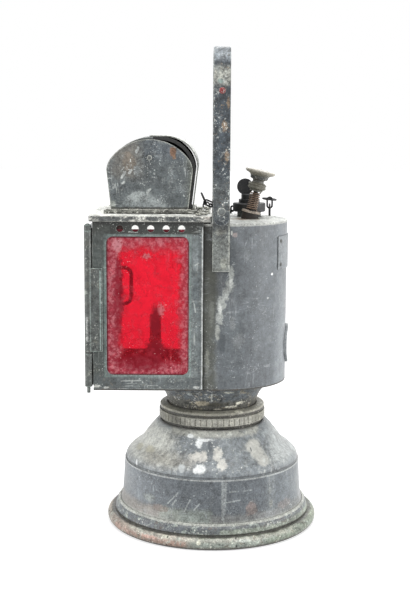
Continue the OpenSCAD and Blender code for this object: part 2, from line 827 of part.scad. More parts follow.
module tank_top() color(pale_steel) {
    difference() {
        translate([tank_x, 0, tank_top_z - plate_t]) linear_extrude(plate_t)
            tank_outline(tank_r, tank_front_x);
        translate([cap_x, cap_y, tank_top_z - 2 * plate_t])
            cylinder(r = filler_r - filler_wall, h = 3 * plate_t);
        along_valve() translate([0, 0, -10]) cylinder(r = stem_r + fit, h = 20);
    }
}

plaque_r = 14.7;
plaque_z = floor_top + 25.6;
back_half_angle = 34;
back_z = floor_top + 84.8;
back_h = 24.2;

module curved_band(r0, r1, half, z, h) {
    translate([tank_x, 0, z]) rotate([0, 0, -half]) rotate_extrude(angle = 2 * half)
        translate([r0, 0]) square([r1 - r0, h]);
}

module back_plate() color(steel) {
    curved_band(tank_r + 0.05, tank_r + 0.9, back_half_angle * 50 / tank_r, back_z, back_h);
}

module back_plate_rivets() color(dark_steel) {
    a = back_half_angle * 50 / tank_r - 4;
    for (s = [-1, 1], z = [3.5, back_h - 3.5])
        translate([tank_x, 0, back_z + z]) rotate([0, 90, s * a]) translate([0, 0, tank_r + 0.95]) rivet_head(1.5, 0.7);
}

module round_plaque() color(steel) {
    intersection() {
        curved_band(tank_r + 0.05, tank_r + 1.25, 30, plaque_z - 20, 40);
        translate([tank_x, 0, plaque_z]) rotate([0, 90, 0]) cylinder(r = plaque_r, h = tank_r + 10);
    }
    difference() {
        intersection() {
            curved_band(tank_r + 1.2, tank_r + 1.9, 30, plaque_z - 20, 40);
            translate([tank_x, 0, plaque_z]) rotate([0, 90, 0]) cylinder(r = plaque_r, h = tank_r + 10);
        }
        translate([tank_x, 0, plaque_z]) rotate([0, 90, 0]) cylinder(r = plaque_r - 1.7, h = tank_r + 10);
    }
}

module both_sides() {
    children();
    mirror([0, 1, 0]) children();
}

module strap_leg(y0, y1, z0, z1, w, end_low, end_high) {
    block([tank_x - w / 2, y0, z0], [tank_x + w / 2, y1, z1]);
    if (end_low) along_y(tank_x, z0, w / 2, y0, y1);
    if (end_high) along_y(tank_x, z1, w / 2, y0, y1);
}

module handle_brackets() color(steel) {
    w = strap_w + 0.4;
    both_sides() difference() {
        strap_leg(-bracket_out, -bracket_in, pivot_z - bracket_drop, pivot_z + 0.4, w, false, true);
        along_y(tank_x, pivot_z, pivot_r, -leg_out, 0);
    }
}

module handle_rivets() color(pale_steel) {
    both_sides() {
        along_y(tank_x, pivot_z, pivot_r, -leg_out - 0.1, -bracket_in + 1.2);
        along_y(tank_x, pivot_z, 3, -bracket_in, -bracket_in + 1.2);
        translate([tank_x, -leg_out - 0.1, pivot_z]) rotate([90, 0, 0]) rivet_head(2.9, 1.2);
    }
}

module handle_profile() {
    difference() {
        translate([0, handle_top - 60]) round_window(2 * leg_out, 120, handle_corner);
        translate([0, handle_top - strap_t - 60]) round_window(2 * leg_in, 120, handle_corner - strap_t);
        translate([-leg_out - cut, pivot_z - 200]) square([2 * leg_out + 2 * cut, 200 + handle_rise - 30]);
    }
}

stud_rise = 84;

module handle() color(steel) {
    difference() {
        union() {
            translate([tank_x - strap_w / 2, 0, 0]) rotate([90, 0, 90])
                linear_extrude(strap_w) handle_profile();
            both_sides() strap_leg(-leg_out, -leg_in, pivot_z - tail_drop, handle_top - 30, strap_w, true, false);
        }
        both_sides() along_y(tank_x, pivot_z, pivot_r + fit, -leg_out - cut, 0);
        along_y(tank_x, pivot_z + stud_rise, 1.5, -leg_out - cut, 0);
    }
}

module handle_stud() color([0.6, 0.2, 0.2]) {
    along_y(tank_x, pivot_z + stud_rise, 1.5, -leg_out, -leg_in + 0.5);
    translate([tank_x, -leg_out, pivot_z + stud_rise]) rotate([90, 0, 0]) rivet_head(2.3, 0.9);
    translate([tank_x, -leg_in, pivot_z + stud_rise]) rotate([-90, 0, 0]) rivet_head(2.3, 0.9);
}

module valve_boss() color(rust) {
    difference() {
        along_valve() translate([0, 0, -3]) cylinder(r = 6.4, h = boss_h + 3);
        translate([valve_x - 20, -20, tank_top_z - 20]) cube([40, 40, 20]);
        along_valve() translate([0, 0, -10]) cylinder(r = stem_r + fit, h = 30);
    }
}

module gland_nut() color(rust) {
    along_valve() ring(7, stem_r + fit, boss_h, gland_h);
}

// The coil rises from its seat, winds around the stem and ends upright again
turn_rings = 8;
lead = 0.3;
lead_bend = 0.7;
coil_r = spring_d / 2;
coil_h = spring_h - 2 * lead - 2 * lead_bend;
coil_turn = 360 * spring_turns;
bend_turn = lead_bend / coil_r * 180 / PI;
bend_steps = 4;

function on_coil(a, z) = [coil_r * cos(a), coil_r * sin(a), z];

function spring_path() = concat(
    [on_coil(0, 0)],
    [for (i = [0:bend_steps]) let (t = 90 * i / bend_steps)
        on_coil(bend_turn * (1 - cos(t)), lead + lead_bend * sin(t))],
    [for (i = [1:spring_turns * turn_rings - 1]) let (t = i / (spring_turns * turn_rings))
        on_coil(bend_turn + coil_turn * t, lead + lead_bend + coil_h * t)],
    [for (i = [bend_steps:-1:0]) let (t = 90 * i / bend_steps)
        on_coil(bend_turn + coil_turn + bend_turn * cos(t), spring_h - lead - lead_bend * sin(t))],
    [on_coil(2 * bend_turn + coil_turn, spring_h)]);

function unit(v) = v / norm(v);

// A closed tube with straight edges from ring to ring
module swept_tube(path, r, sides) {
    last = len(path) - 1;
    points = [for (i = [0:last])
        let (t = i == 0 || i == last ? [0, 0, 1] : unit(path[i + 1] - path[i - 1]),
            out = unit([path[i][0], path[i][1], 0]),
            side = unit(cross(t, out)),
            up = cross(side, t))
        for (k = [0:sides - 1]) let (a = 360 * k / sides) path[i] + r * (cos(a) * up + sin(a) * side)];
    faces = concat(
        [[for (k = [0:sides - 1]) k]],
        [for (i = [0:last - 1], k = [0:sides - 1])
            let (n = (k + 1) % sides) [i * sides + k, (i + 1) * sides + k, (i + 1) * sides + n]],
        [for (i = [0:last - 1], k = [0:sides - 1])
            let (n = (k + 1) % sides) [i * sides + k, (i + 1) * sides + n, i * sides + n]],
        [[for (k = [sides - 1:-1:0]) last * sides + k]]);
    polyhedron(points = points, faces = faces, convexity = 10);
}

module valve_spring() color(rust) {
    path = spring_path();
    along = bend_steps + turn_rings / 2;
    echo(spring_gap = min([for (i = [0:len(path) - 1 - along], j = [i + along:len(path) - 1])
        norm(path[i] - path[j]) - spring_wire]));
    along_valve() translate([0, 0, spring_s]) swept_tube(path, spring_wire / 2, 6);
}

module spring_cup() color(dark_steel) {
    along_valve() ring(4.9, stem_r + fit, cup_s, cup_h);
}

module valve_stem() color(rust) {
    along_valve() {
        translate([0, 0, -stem_drop + 3]) cylinder(r = stem_r, h = stem_drop + knob_s + knob_h - 7);
        translate([0, 0, -stem_drop]) cylinder(r1 = 0.5, r2 = stem_r, h = 3);
    }
}

module valve_collar() color(olive) {
    along_valve() difference() {
        rotate_extrude() polygon([[stem_r, collar_s], [5.8, collar_s], [6.7, collar_s + 0.7],
            [6.9, collar_s + 1.4], [6.3, collar_s + 2.2], [6.3, collar_s + 2.5], [6.9, collar_s + 3.1],
            [6.7, collar_s + 3.8], [5.4, collar_s + rings_h], [stem_r, collar_s + rings_h]]);
        translate([0, 0, collar_s - cut]) cylinder(r = stem_r, h = rings_h + 2 * cut);
    }
}

module valve_knob() color(pale_steel) {
    rim = knob_d / 2;
    along_valve() difference() {
        rotate_extrude() polygon([[0, knob_s], [4.8, knob_s], [4.3, knob_s + 0.6], [4.2, knob_s + 1.8],
            [4.9, knob_s + 2.4], [6.2, knob_s + 2.7], [6.6, knob_s + 3.4], [6.7, knob_s + 4.5],
            [7.3, knob_s + 5.7], [8.4, knob_s + 6.4], [rim - 1.1, knob_s + 7],
            [rim - 0.2, knob_s + 7.7], [rim, knob_s + 8.5], [rim - 0.5, knob_s + 9.3],
            [rim - 1.6, knob_s + 9.6], [3, knob_s + knob_h], [0, knob_s + knob_h]]);
        translate([0, 0, knob_s - cut]) cylinder(r = stem_r, h = knob_h - 3);
        translate([0, 0, knob_s + knob_h]) cube([0.9, 7, 1.6], center = true);
    }
}

module filler_neck() color(dark_steel) {
    translate([cap_x, cap_y, 0]) ring(filler_r, filler_r - filler_wall, tank_top_z, filler_top - tank_top_z);
}

tab_r = 6.2;
tab_x = -3.2;

roof_ring_r = 4.6;
roof_ring_lean = 25;
roof_ring_at = [-5.4, 38, roof_top + 2.6];
chain_from = roof_ring_at + [-0.4, -3.2, 1.6];
// The cap's hook points down, so the cap lifts off without opening the chain
hook_side = atan2(chain_from[1] - cap_y, chain_from[0] - cap_x);
hook_out = cap_r + 2.6;
hook_bend = 1.3;
hook_z = cap_bottom + 3.4;
hook_end = tank_top_z + 1.6;

module filler_cap() color(black) {
    z1 = cap_bottom + cap_base_h;
    difference() {
        union() {
            translate([cap_x, cap_y, 0]) rotate_extrude() polygon([[0, cap_bottom], [cap_r - 0.6, cap_bottom],
                [cap_r, cap_bottom + 0.6], [cap_r, z1 - 0.6], [cap_r - 0.6, z1], [8, z1], [8, z1 + 2.8],
                [6.1, z1 + 2.8], [6.1, z1 + 6.2], [5.5, z1 + 6.8], [0, z1 + 6.8]]);
            along_y(cap_x + tab_x, z1 + 6.8 + tab_r - 0.8, tab_r, cap_y - 0.9, cap_y + 0.9);
            translate([cap_x, cap_y, 0]) rotate([0, 0, hook_side]) {
                translate([cap_r - 1, 0, hook_z]) rotate([0, 90, 0])
                    cylinder(r = link_r, h = hook_out - hook_bend - cap_r + 1);
                translate([hook_out - hook_bend, 0, hook_z - hook_bend]) rotate([90, 0, 0])
                    rotate_extrude(angle = 90) translate([hook_bend, 0]) circle(r = link_r);
                translate([hook_out, 0, hook_end]) cylinder(r = link_r, h = hook_z - hook_bend - hook_end);
            }
        }
        translate([cap_x, cap_y, cap_bottom - cut]) cylinder(r = filler_r + gap, h = 5.5);
    }
}

module cap_gasket() color(dark_steel) {
    translate([cap_x, cap_y, 0]) ring(filler_r + gap - 0.05, filler_r - filler_wall, cap_bottom + 3.8, 0.7);
}

link_r = link_wire / 2;
link_bow = 1.9;
link_half = 2.2;

// A link of bent wire that lies in the XY plane and is longest along X
module chain_link() {
    for (s = [-1, 1]) {
        translate([-link_half, s * link_bow, 0]) rotate([0, 90, 0]) cylinder(r = link_r, h = 2 * link_half);
        translate([s * link_half, 0, 0]) rotate([0, 0, s > 0 ? -90 : 90])
            rotate_extrude(angle = 180) translate([link_bow, 0]) circle(r = link_r, $fn = 24);
    }
}

chain_to = [cap_x + hook_out * cos(hook_side), cap_y + hook_out * sin(hook_side), cap_bottom];
chain_end = link_half + link_bow - link_wire - 0.1;
chain_sag = 0.6;
chain_pitch = 2 * (link_half + link_bow - link_wire) + 1.1;
link_count = ceil((norm(chain_to - chain_from) - 2 * chain_end) / chain_pitch) + 1;

// Stout links from the ring on the roof to the hook of the filler cap
module cap_chain() {
    run = chain_to - chain_from;
    span = norm(run);
    for (i = [0:link_count - 1])
        let (t = (chain_end + (span - 2 * chain_end) * i / (link_count - 1)) / span,
            slope = run[2] / span - 4 * chain_sag * (1 - 2 * t) / span)
        translate(chain_from + t * run - [0, 0, 4 * chain_sag * t * (1 - t)])
            rotate([0, 0, atan2(run[1], run[0])]) rotate([0, -asin(slope), 0])
                rotate([i % 2 == 0 ? 70 : -20, 0, 0]) chain_link();
}

module staple(r, wire) {
    rotate([90, 0, 0]) rotate_extrude(angle = 180) translate([r, 0]) circle(r = wire, $fn = 24);
}

tank_ring_at = [43.5, 33.5, tank_top_z + 12.4];
tank_ring_r = 5;

module chain_and_rings() color(black) {
    cap_chain();
    translate(roof_ring_at) rotate([0, -roof_ring_lean, 0]) translate([0, 0, roof_ring_r]) rotate([0, 90, 0])
        rotate_extrude() translate([roof_ring_r, 0]) circle(r = 0.75, $fn = 24);
    translate([roof_ring_at[0], roof_ring_at[1], roof_top]) {
        translate([0, 0, 1.6]) staple(2.4, 0.6);
        for (s = [-1, 1]) translate([s * 2.4, 0, 0]) cylinder(r = 0.6, h = 1.6);
    }
    translate(tank_ring_at) rotate([0, 6, 0]) rotate_extrude()
        translate([tank_ring_r, 0]) circle(r = 0.75, $fn = 24);
    foot = [tank_ring_at[0], tank_ring_at[1] - tank_ring_r, tank_top_z];
    translate(foot) cylinder(r = 0.9, h = 5.4);
    translate(foot + [0, 0, 7]) rotate([0, 90, 0]) rotate_extrude() translate([1.9, 0]) circle(r = 0.6, $fn = 24);
    translate(foot + [0, 0, 10]) rotate([90, 90, 0]) rotate([0, 0, 0]) chain_link();
}

foot_ring();
foot_wire();
chamber_drum();
chamber_shoulder();
chamber_floor();
threaded_collar();
carbide_pot();
union_gasket();
union_nut();
neck_funnel();
gas_filter();
body_floor();
drip_seat();
drip_tube();
gas_pipe();
burner_socket();
burner_tube();
burner_tip();
case_shell();
case_rear_wall();
reflector();
near_glass();
near_glass_channel();
far_glass();
far_glass_channel();
roof_plate();
chimney_seat();
chimney_near_plate();
chimney_far_plate();
chimney_flue();
chimney_cover();
chimney_rivets();
hinge_leaf();
hinge_pin();
door_frame();
door_glass();
door_glass_clips();
door_hinge_straps();
pull_tab();
pull_ring();
tank_shell();
tank_top();
back_plate();
back_plate_rivets();
round_plaque();
handle_brackets();
handle_rivets();
handle();
handle_stud();
valve_boss();
gland_nut();
valve_spring();
spring_cup();
valve_stem();
valve_collar();
valve_knob();
filler_neck();
filler_cap();
cap_gasket();
chain_and_rings();
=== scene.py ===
# Railway hand lantern of the acetylene kind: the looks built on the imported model.
import math
import random

import bmesh
import bpy
from mathutils import Matrix, Vector, noise


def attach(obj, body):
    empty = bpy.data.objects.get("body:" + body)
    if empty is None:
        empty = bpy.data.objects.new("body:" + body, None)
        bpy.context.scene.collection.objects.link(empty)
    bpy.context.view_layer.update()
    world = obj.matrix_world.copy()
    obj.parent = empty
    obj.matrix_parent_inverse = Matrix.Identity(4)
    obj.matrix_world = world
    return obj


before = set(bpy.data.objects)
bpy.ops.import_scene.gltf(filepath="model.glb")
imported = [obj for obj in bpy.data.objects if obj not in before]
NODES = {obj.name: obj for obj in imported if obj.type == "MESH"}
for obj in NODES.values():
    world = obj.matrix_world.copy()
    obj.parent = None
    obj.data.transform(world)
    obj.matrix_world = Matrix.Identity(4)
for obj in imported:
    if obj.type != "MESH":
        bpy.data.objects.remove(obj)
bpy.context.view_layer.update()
MM = 0.001


# Camera, fitted to the photograph

def make_camera():
    place = Vector((-5.20, -891.29, 306.04)) * MM
    yaw, pitch, roll = 0.0008, 0.1514, -0.0063
    focal_pixels = 1190.88
    photo_width = 410
    sensor_width = 36
    forward = Vector((-math.sin(yaw) * math.cos(pitch), math.cos(yaw) * math.cos(pitch), -math.sin(pitch)))
    right = Vector((math.cos(yaw), math.sin(yaw), 0))
    down = forward.cross(right)
    rolled_right = right * math.cos(roll) + down * math.sin(roll)
    rolled_down = down * math.cos(roll) - right * math.sin(roll)
    data = bpy.data.cameras.new("camera")
    data.sensor_fit = "HORIZONTAL"
    data.sensor_width = sensor_width
    data.lens = focal_pixels / photo_width * sensor_width
    data.clip_start = 0.05
    data.clip_end = 50
    camera = bpy.data.objects.new("camera", data)
    turn = Matrix((rolled_right, -rolled_down, -forward)).transposed().to_4x4()
    camera.matrix_world = Matrix.Translation(place) @ turn
    bpy.context.scene.collection.objects.link(camera)
    bpy.context.scene.camera = camera


make_camera()


# Node trees

# The sizes in millimetres that frayed edges share, and how far one seed moves a noise from the next
FRAY_SIZES = (1.4, 2.4, 4.0, 7.0, 12.0)
SEED_STEP = (7.3, 3.1, 5.7)


class Tree:
    """The nodes of one material, or of the world, made one call at a time."""

    def __init__(self, name, world=None):
        self.mat = world or bpy.data.materials.new(name)
        self.mat.use_nodes = True
        self.nodes = self.mat.node_tree.nodes
        self.links = self.mat.node_tree.links
        self.nodes.clear()
        self.out = self.nodes.new("ShaderNodeOutput" + ("World" if world else "Material"))
        self.place = None
        self.parts = None
        self.frays = {}

    def put(self, socket, value):
        if isinstance(value, bpy.types.NodeSocket):
            self.links.new(value, socket)
        elif isinstance(value, (tuple, list)) and len(value) == 3 and socket.type == "RGBA":
            socket.default_value = (*value, 1)
        else:
            socket.default_value = value

    def add(self, kind, inputs=None, **settings):
        node = self.nodes.new("ShaderNode" + kind)
        for key, value in settings.items():
            setattr(node, key, value)
        for key, value in (inputs or {}).items():
            self.put(node.inputs[key], value)
        return node

    def math(self, kind, a, b=0, clamp=False):
        node = self.add("Math", {0: a, 1: b}, operation=kind, use_clamp=clamp)
        return node.outputs[0]

    def mm(self):
        """The object's own coordinates in millimetres, in the row frame at rest."""
        if self.place is None:
            coords = self.add("TexCoord").outputs["Object"]
            self.place = self.vector("SCALE", coords, scale=1000)
        return self.place

    def vector(self, kind, a, b=(0, 0, 0), scale=1):
        node = self.add("VectorMath", {0: a, 1: b, 3: scale}, operation=kind)
        return node.outputs["Value"] if kind in ("LENGTH", "DOT_PRODUCT") else node.outputs["Vector"]

    def axis(self, letter, vec=None):
        if vec is not None:
            return self.add("SeparateXYZ", {0: vec}).outputs[letter]
        if self.parts is None:
            self.parts = self.add("SeparateXYZ", {0: self.mm()})
        return self.parts.outputs[letter]

    def fray(self, size):
        """Noise from -0.5 to 0.5 that frays an edge, shared by all edges of about that size."""
        size = min(FRAY_SIZES, key=lambda s: abs(s - size))
        if size not in self.frays:
            waves = self.noise(size, 4, 0.65, seed=size + 11)
            self.frays[size] = self.math("SUBTRACT", waves, 0.5)
        return self.frays[size]

    def noise(self, size, detail, rough, stretch=(1, 1, 1), seed=0, warp=0):
        """Noise whose features are about size millimetres across."""
        vec = self.vector("MULTIPLY", self.mm(), [s / size for s in stretch])
        vec = self.vector("ADD", vec, [seed * s for s in SEED_STEP])
        node = self.add("TexNoise", {"Vector": vec, "Scale": 1, "Detail": detail, "Roughness": rough,
            "Distortion": warp})
        return node.outputs["Fac"]

    def step(self, value, low, high, to_low=0, to_high=1):
        """Goes smoothly from to_low to to_high while value goes from low to high."""
        node = self.add("MapRange", {"Value": value, "From Min": low, "From Max": high,
            "To Min": to_low, "To Max": to_high}, interpolation_type="SMOOTHSTEP")
        return node.outputs["Result"]

    def mix(self, share, a, b):
        node = self.add("Mix", data_type="RGBA", clamp_factor=True)
        self.put(node.inputs[0], share)
        self.put(node.inputs[6], a)
        self.put(node.inputs[7], b)
        return node.outputs[2]

    def total(self, *values, clamp=False):
        """The sum of the values; clamp keeps what comes out between 0 and 1."""
        so_far = values[0]
        for value in values[1:-1]:
            so_far = self.math("ADD", so_far, value)
        return self.math("ADD", so_far, values[-1], clamp)

    def both(self, a, b):
        return self.math("MULTIPLY", a, b)

    def either(self, a, b):
        return self.math("MAXIMUM", a, b)

    def blot(self, centre, size, ragged, grain=2.4):
        """A soft ellipsoid patch with a ragged edge: 1 in its middle, fading from 55% of its size to 0."""
        vec = self.vector("SUBTRACT", self.mm(), centre)
        vec = self.vector("MULTIPLY", vec, [1 / s for s in size])
        far = self.vector("LENGTH", vec)
        far = self.total(far, self.both(self.fray(grain), ragged * 4))
        return self.step(far, 1, 0.55)

    def edges(self, radius):
        """1 on the sharp edges of the solid, 0 on its flats."""
        rounded = self.add("Bevel", {"Radius": radius * MM}, samples=4).outputs[0]
        true = self.add("NewGeometry").outputs["Normal"]
        flat_cosine, edge_cosine = 0.985, 0.93
        return self.step(self.vector("DOT_PRODUCT", rounded, true), flat_cosine, edge_cosine)

    def seen(self):
        """1 where a ray comes from the camera, from gloss or through glass."""
        path = self.add("LightPath").outputs
        mirrored = self.either(path["Is Glossy Ray"], path["Is Transmission Ray"])
        return self.either(path["Is Camera Ray"], mirrored)

    def surface(self, shader):
        """Joins a shader to the output and gives back the finished material."""
        self.links.new(shader, self.out.inputs["Surface"])
        return self.mat


# Colours

def rgb(r, g, b):
    """A colour written as seen on screen, 0 to 255, turned into light values by the sRGB curve."""
    out = []
    for v in (r, g, b):
        v = min(v, 255) / 255
        out.append(v / 12.92 if v <= 0.04045 else ((v + 0.055) / 1.055) ** 2.4)
    return tuple(out)


# The mottling of every ground: feature sizes in millimetres, a wave's strength, the darkest it may get,
# and the depth of its bumps in millimetres
BROAD = 36
CLOUD = 8
GRAIN = 1.15
STREAK = 2.6
FLECK = 3.2
WAVE = 1.6
DARKEST = 0.25
BUMP = 0.35


class Paint:
    """Old paint or bare metal, built up in layers on a ground colour.

    The seeds of each kind of layer start at a step of their own, from 40 for stains to 80 for worn edges.
    """

    def __init__(self, name, ground, seed, broad=0.9, cloud=0.9, grain=1.6, streaks=0, fleck=0):
        t = self.t = Tree(name)
        self.seed = seed
        self.color = rgb(*ground)
        self.broad = t.noise(BROAD, 3, 0.55, seed=seed)
        self.cloud = t.noise(CLOUD, 5, 0.62, seed=seed + 1, warp=0.3)
        self.grain = t.noise(GRAIN, 3, 0.75, seed=seed + 2)
        waves = [self.wave(self.broad, broad), self.wave(self.cloud, cloud), self.wave(self.grain, grain)]
        if streaks:
            runs = t.noise(STREAK, 4, 0.6, stretch=(1, 1, 0.05), seed=seed + 3)
            waves.append(self.wave(runs, streaks))
        if fleck:
            waves.append(self.wave(t.noise(FLECK, 2, 0.5, seed=seed + 4), fleck))
        self.swing = t.either(t.total(*waves, 1), DARKEST)
        self.flat = None

    def wave(self, value, amount):
        return self.t.both(self.t.math("SUBTRACT", value, 0.5), amount * WAVE)

    def tint(self, mask, color, share):
        """Lays a colour where the mask is 1."""
        self.color = self.t.mix(self.t.both(mask, share), self.color, rgb(*color))

    def ragged(self, value, amount, size):
        """Frays the edge of a mask's driving value with noise of the given size."""
        return self.t.total(value, self.t.both(self.t.fray(size), amount))

    def slab(self, color, share, x=None, y=None, z=None, soft=1.5, fray=0, size=4):
        """Tints what lies between the given limits, with soft or frayed edges."""
        t = self.t
        mask = None
        for letter, span in (("X", x), ("Y", y), ("Z", z)):
            if span is None:
                continue
            value = t.axis(letter)
            if fray:
                value = self.ragged(value, fray * 4, size)
            low, high = span
            here = t.both(t.step(value, low - soft, low + soft), t.step(value, high + soft, high - soft))
            mask = here if mask is None else t.both(mask, here)
        self.tint(mask, color, share)

    def patches(self, *rows):
        """Each row is a colour, its share, and the centre, size, raggedness and grain of a blot."""
        for color, share, *place in rows:
            self.tint(self.t.blot(*place), color, share)

    def chips(self, *rows):
        """Patches that also calm the mottling of the ground."""
        t = self.t
        for color, share, *place in rows:
            mask = t.blot(*place)
            self.tint(mask, color, share)
            self.flat = mask if self.flat is None else t.either(self.flat, mask)

    def scratch(self, color, share, a, b, width, fray):
        """A thin line from a to b on the surface."""
        t = self.t
        run = [q - p for p, q in zip(a, b)]
        squared_length = sum(c * c for c in run)
        from_a = t.vector("SUBTRACT", t.mm(), a)
        along = t.math("DIVIDE", t.vector("DOT_PRODUCT", from_a, run), squared_length, clamp=True)
        foot = t.vector("SCALE", run, scale=along)
        far = t.vector("LENGTH", t.vector("SUBTRACT", from_a, foot))
        far = self.ragged(far, fray * 3, 1.4)
        self.tint(t.step(far, width * 1.5, width * 0.5), color, share)

    def scratches(self, color, share, *rows, width=0.5, fray=0.4):
        for a, b in rows:
            self.scratch(color, share, a, b, width, fray)

    def stains(self, color, share, size, low=0.56, high=0.68, seed=0, stretch=(1, 1, 1)):
        blots = self.t.noise(size, 5, 0.66, stretch=stretch, seed=self.seed + 40 + seed, warp=0.7)
        self.tint(self.t.step(blots, low, high), color, share)

    def specks(self, color, share, size, cover=0.66, spread=12, seed=0):
        """Small chips and specks, thick in some places and absent in others."""
        t = self.t
        small = t.step(t.noise(size, 2, 0.6, seed=self.seed + 50 + seed), cover - 0.02, cover + 0.015)
        place = t.step(t.noise(spread, 3, 0.6, seed=self.seed + 60 + seed), 0.46, 0.62)
        self.tint(t.both(small, place), color, share)

    def hairlines(self, color, share):
        """Fine scratches, some level and some upright."""
        t = self.t
        for k, stretch in enumerate(((1, 1, 0.07), (0.12, 0.12, 1))):
            line = t.noise(5, 2, 0.5, stretch=stretch, seed=self.seed + 70 + k, warp=0.3)
            thin = t.step(t.math("ABSOLUTE", t.math("SUBTRACT", line, 0.5)), 0.011, 0.003)
            place = t.step(t.noise(15, 3, 0.6, seed=self.seed + 75 + k), 0.52, 0.62)
            self.tint(t.both(thin, place), color, share)

    def top(self, color, share, low, high):
        """Tints faces that look up in the row frame at rest: dust lying on them, with painted light from
        above.
        """
        t = self.t
        normal = t.add("NewGeometry").outputs["Normal"]
        up = t.add("VectorTransform", {0: normal}, vector_type="NORMAL",
            convert_from="WORLD", convert_to="OBJECT").outputs[0]
        self.tint(t.step(t.axis("Z", up), low, high), color, share)

    def edge(self, color, share, radius=0.8, broken=0.5):
        """Paint rubbed off the sharp edges."""
        t = self.t
        rim = t.edges(radius)
        worn = t.step(t.noise(4, 4, 0.7, seed=self.seed + 80), broken - 0.16, broken + 0.06)
        self.tint(t.both(rim, worn), color, share)

    def corner_shade_and_dirt(self, color, share, distance):
        """Painted shade, with dirt and soot, in the corners between pieces."""
        t = self.t
        open_sky = t.add("AmbientOcclusion", {"Distance": distance * MM}, samples=6).outputs["AO"]
        self.tint(t.step(open_sky, 0.72, 0.3), color, share)

    def done(self, rough, metal=0, bump=0.5, soft=0.45, dent=2, **fixed):
        """Mottles the colours, adds dents and rounded edges, and gives back the material."""
        t = self.t
        swing = self.swing
        if self.flat is not None:
            # Half of the mottling stays on a chip
            kept = t.step(self.flat, 0, 1, 1, 0.5)
            swing = t.total(t.both(t.math("SUBTRACT", swing, 1), kept), 1)
        color = t.vector("SCALE", self.color, scale=swing)
        height = t.total(t.both(self.broad, dent), t.both(self.cloud, 0.5), t.both(self.grain, 0.2))
        smooth = t.add("Bevel", {"Radius": soft * MM}, samples=4).outputs[0]
        normal = t.add("Bump", {"Strength": bump, "Distance": BUMP * MM, "Height": height,
            "Normal": smooth}).outputs[0]
        shader = t.add("BsdfPrincipled", {"Base Color": color, "Metallic": metal, "Normal": normal,
            "Roughness": t.step(self.cloud, 0.3, 0.7, rough - 0.1, rough + 0.13)})
        for key, value in fixed.items():
            t.put(shader.inputs[key.replace("_", " ")], value)
        return t.surface(shader.outputs[0])


def use(mat, *names):
    for name in names:
        mesh = NODES[name].data
        mesh.materials.clear()
        mesh.materials.append(mat)


# The half of the lantern that faces the camera, as a span of y in millimetres
NEAR = (-60, 0)
SHEEN = {"Sheen_Weight": 0.5, "Sheen_Roughness": 0.35}


# Bell: the drum, its shoulder and the foot

def drum_paint():
    p = Paint("drum_paint", (102, 108, 113), 4, broad=0.6, cloud=0.7, grain=1.5, streaks=0.1, fleck=0.5)
    # Painted reflection of the room: lighter to both sides
    p.slab((136, 142, 147), 0.6, x=(-90, -46), z=(20, 50), soft=10, fray=2, size=12)
    p.slab((124, 131, 135), 0.5, x=(46, 90), z=(20, 50), soft=10, fray=2, size=12)
    # Brown and green dirt above the foot, with a ragged upper edge
    p.slab((142, 136, 128), 0.75, x=(-80, -24), z=(15, 25), soft=2.5, fray=1.9, size=7)
    p.slab((146, 154, 146), 0.75, x=(-38, 0), z=(15, 26), soft=2.5, fray=2.2)
    p.slab((128, 128, 124), 0.6, x=(-2, 80), z=(15, 22.5), soft=2, fray=1.4, size=7)
    p.patches(
        ((146, 128, 120), 0.6, (29.1, -61.3, 26), (5, 9, 6), 0.4, 4),
        ((142, 126, 118), 0.5, (-37.7, -56.7, 24.5), (10, 10, 3), 0.4, 4),
        ((142, 130, 124), 0.45, (54, -42, 24), (8, 11, 4), 0.4, 4),
        ((180, 180, 170), 0.7, (43.5, -53, 27), (2, 6, 3.6), 0.25),
        ((176, 178, 170), 0.5, (42.5, -52, 37), (1.6, 6, 3), 0.25),
        ((150, 156, 152), 0.6, (-46, -50, 30), (6, 9, 4), 0.4, 4),
        ((228, 230, 228), 0.9, (-5, -66.1, 48.4), (3, 3, 0.9), 0.2),
        ((208, 210, 206), 0.8, (-14, -65, 48.2), (1.6, 3, 0.8), 0.2),
    )
    p.stains((130, 137, 140), 0.4, 12, 0.55, 0.7)
    p.stains((82, 87, 91), 0.4, 9, 0.56, 0.7, 1)
    p.hairlines((164, 170, 172), 0.6)
    p.specks((196, 200, 198), 0.7, 1.2, 0.655)
    pale = (186, 191, 189)
    p.scratches(pale, 0.45, ((7.5, -66.4, 48.1), (8.1, -68, 17.5)), ((9.9, -66, 48.1), (9.5, -68, 24)),
        ((42, -51.8, 48), (43.7, -54.2, 18.9)), ((45.4, -49.5, 46), (46.2, -51.5, 26)), width=0.9, fray=0.7)
    p.slab((142, 148, 150), 0.4, x=(39.5, 46.5), z=(18, 48), fray=0.8)
    p.scratches(pale, 0.55, ((-31.8, -59.8, 29.3), (-24.5, -62.5, 37.8)),
        ((-28.8, -61.3, 28.4), (-25.9, -62.3, 32.5)),
        ((-20, -65, 24.4), (-15.7, -65.5, 33.6)), ((13, -65.7, 39.8), (29, -60.4, 39.7)),
        ((9.4, -66.8, 32), (20.3, -64.3, 33.4)), ((-13, -66.4, 26), (-9, -67, 31)), fray=0.6)
    # A painted highlight on the seam at its top, and a pale line where it flares out to the foot
    p.slab((186, 190, 189), 0.85, z=(47.5, 49.3), soft=0.3, fray=0.14, size=2.4)
    p.slab((160, 162, 156), 0.6, z=(16.2, 18.2), soft=0.5, fray=0.3)
    p.corner_shade_and_dirt((36, 34, 30), 0.8, 4)
    return p.done(0.4, bump=0.35, dent=2.2, **SHEEN)


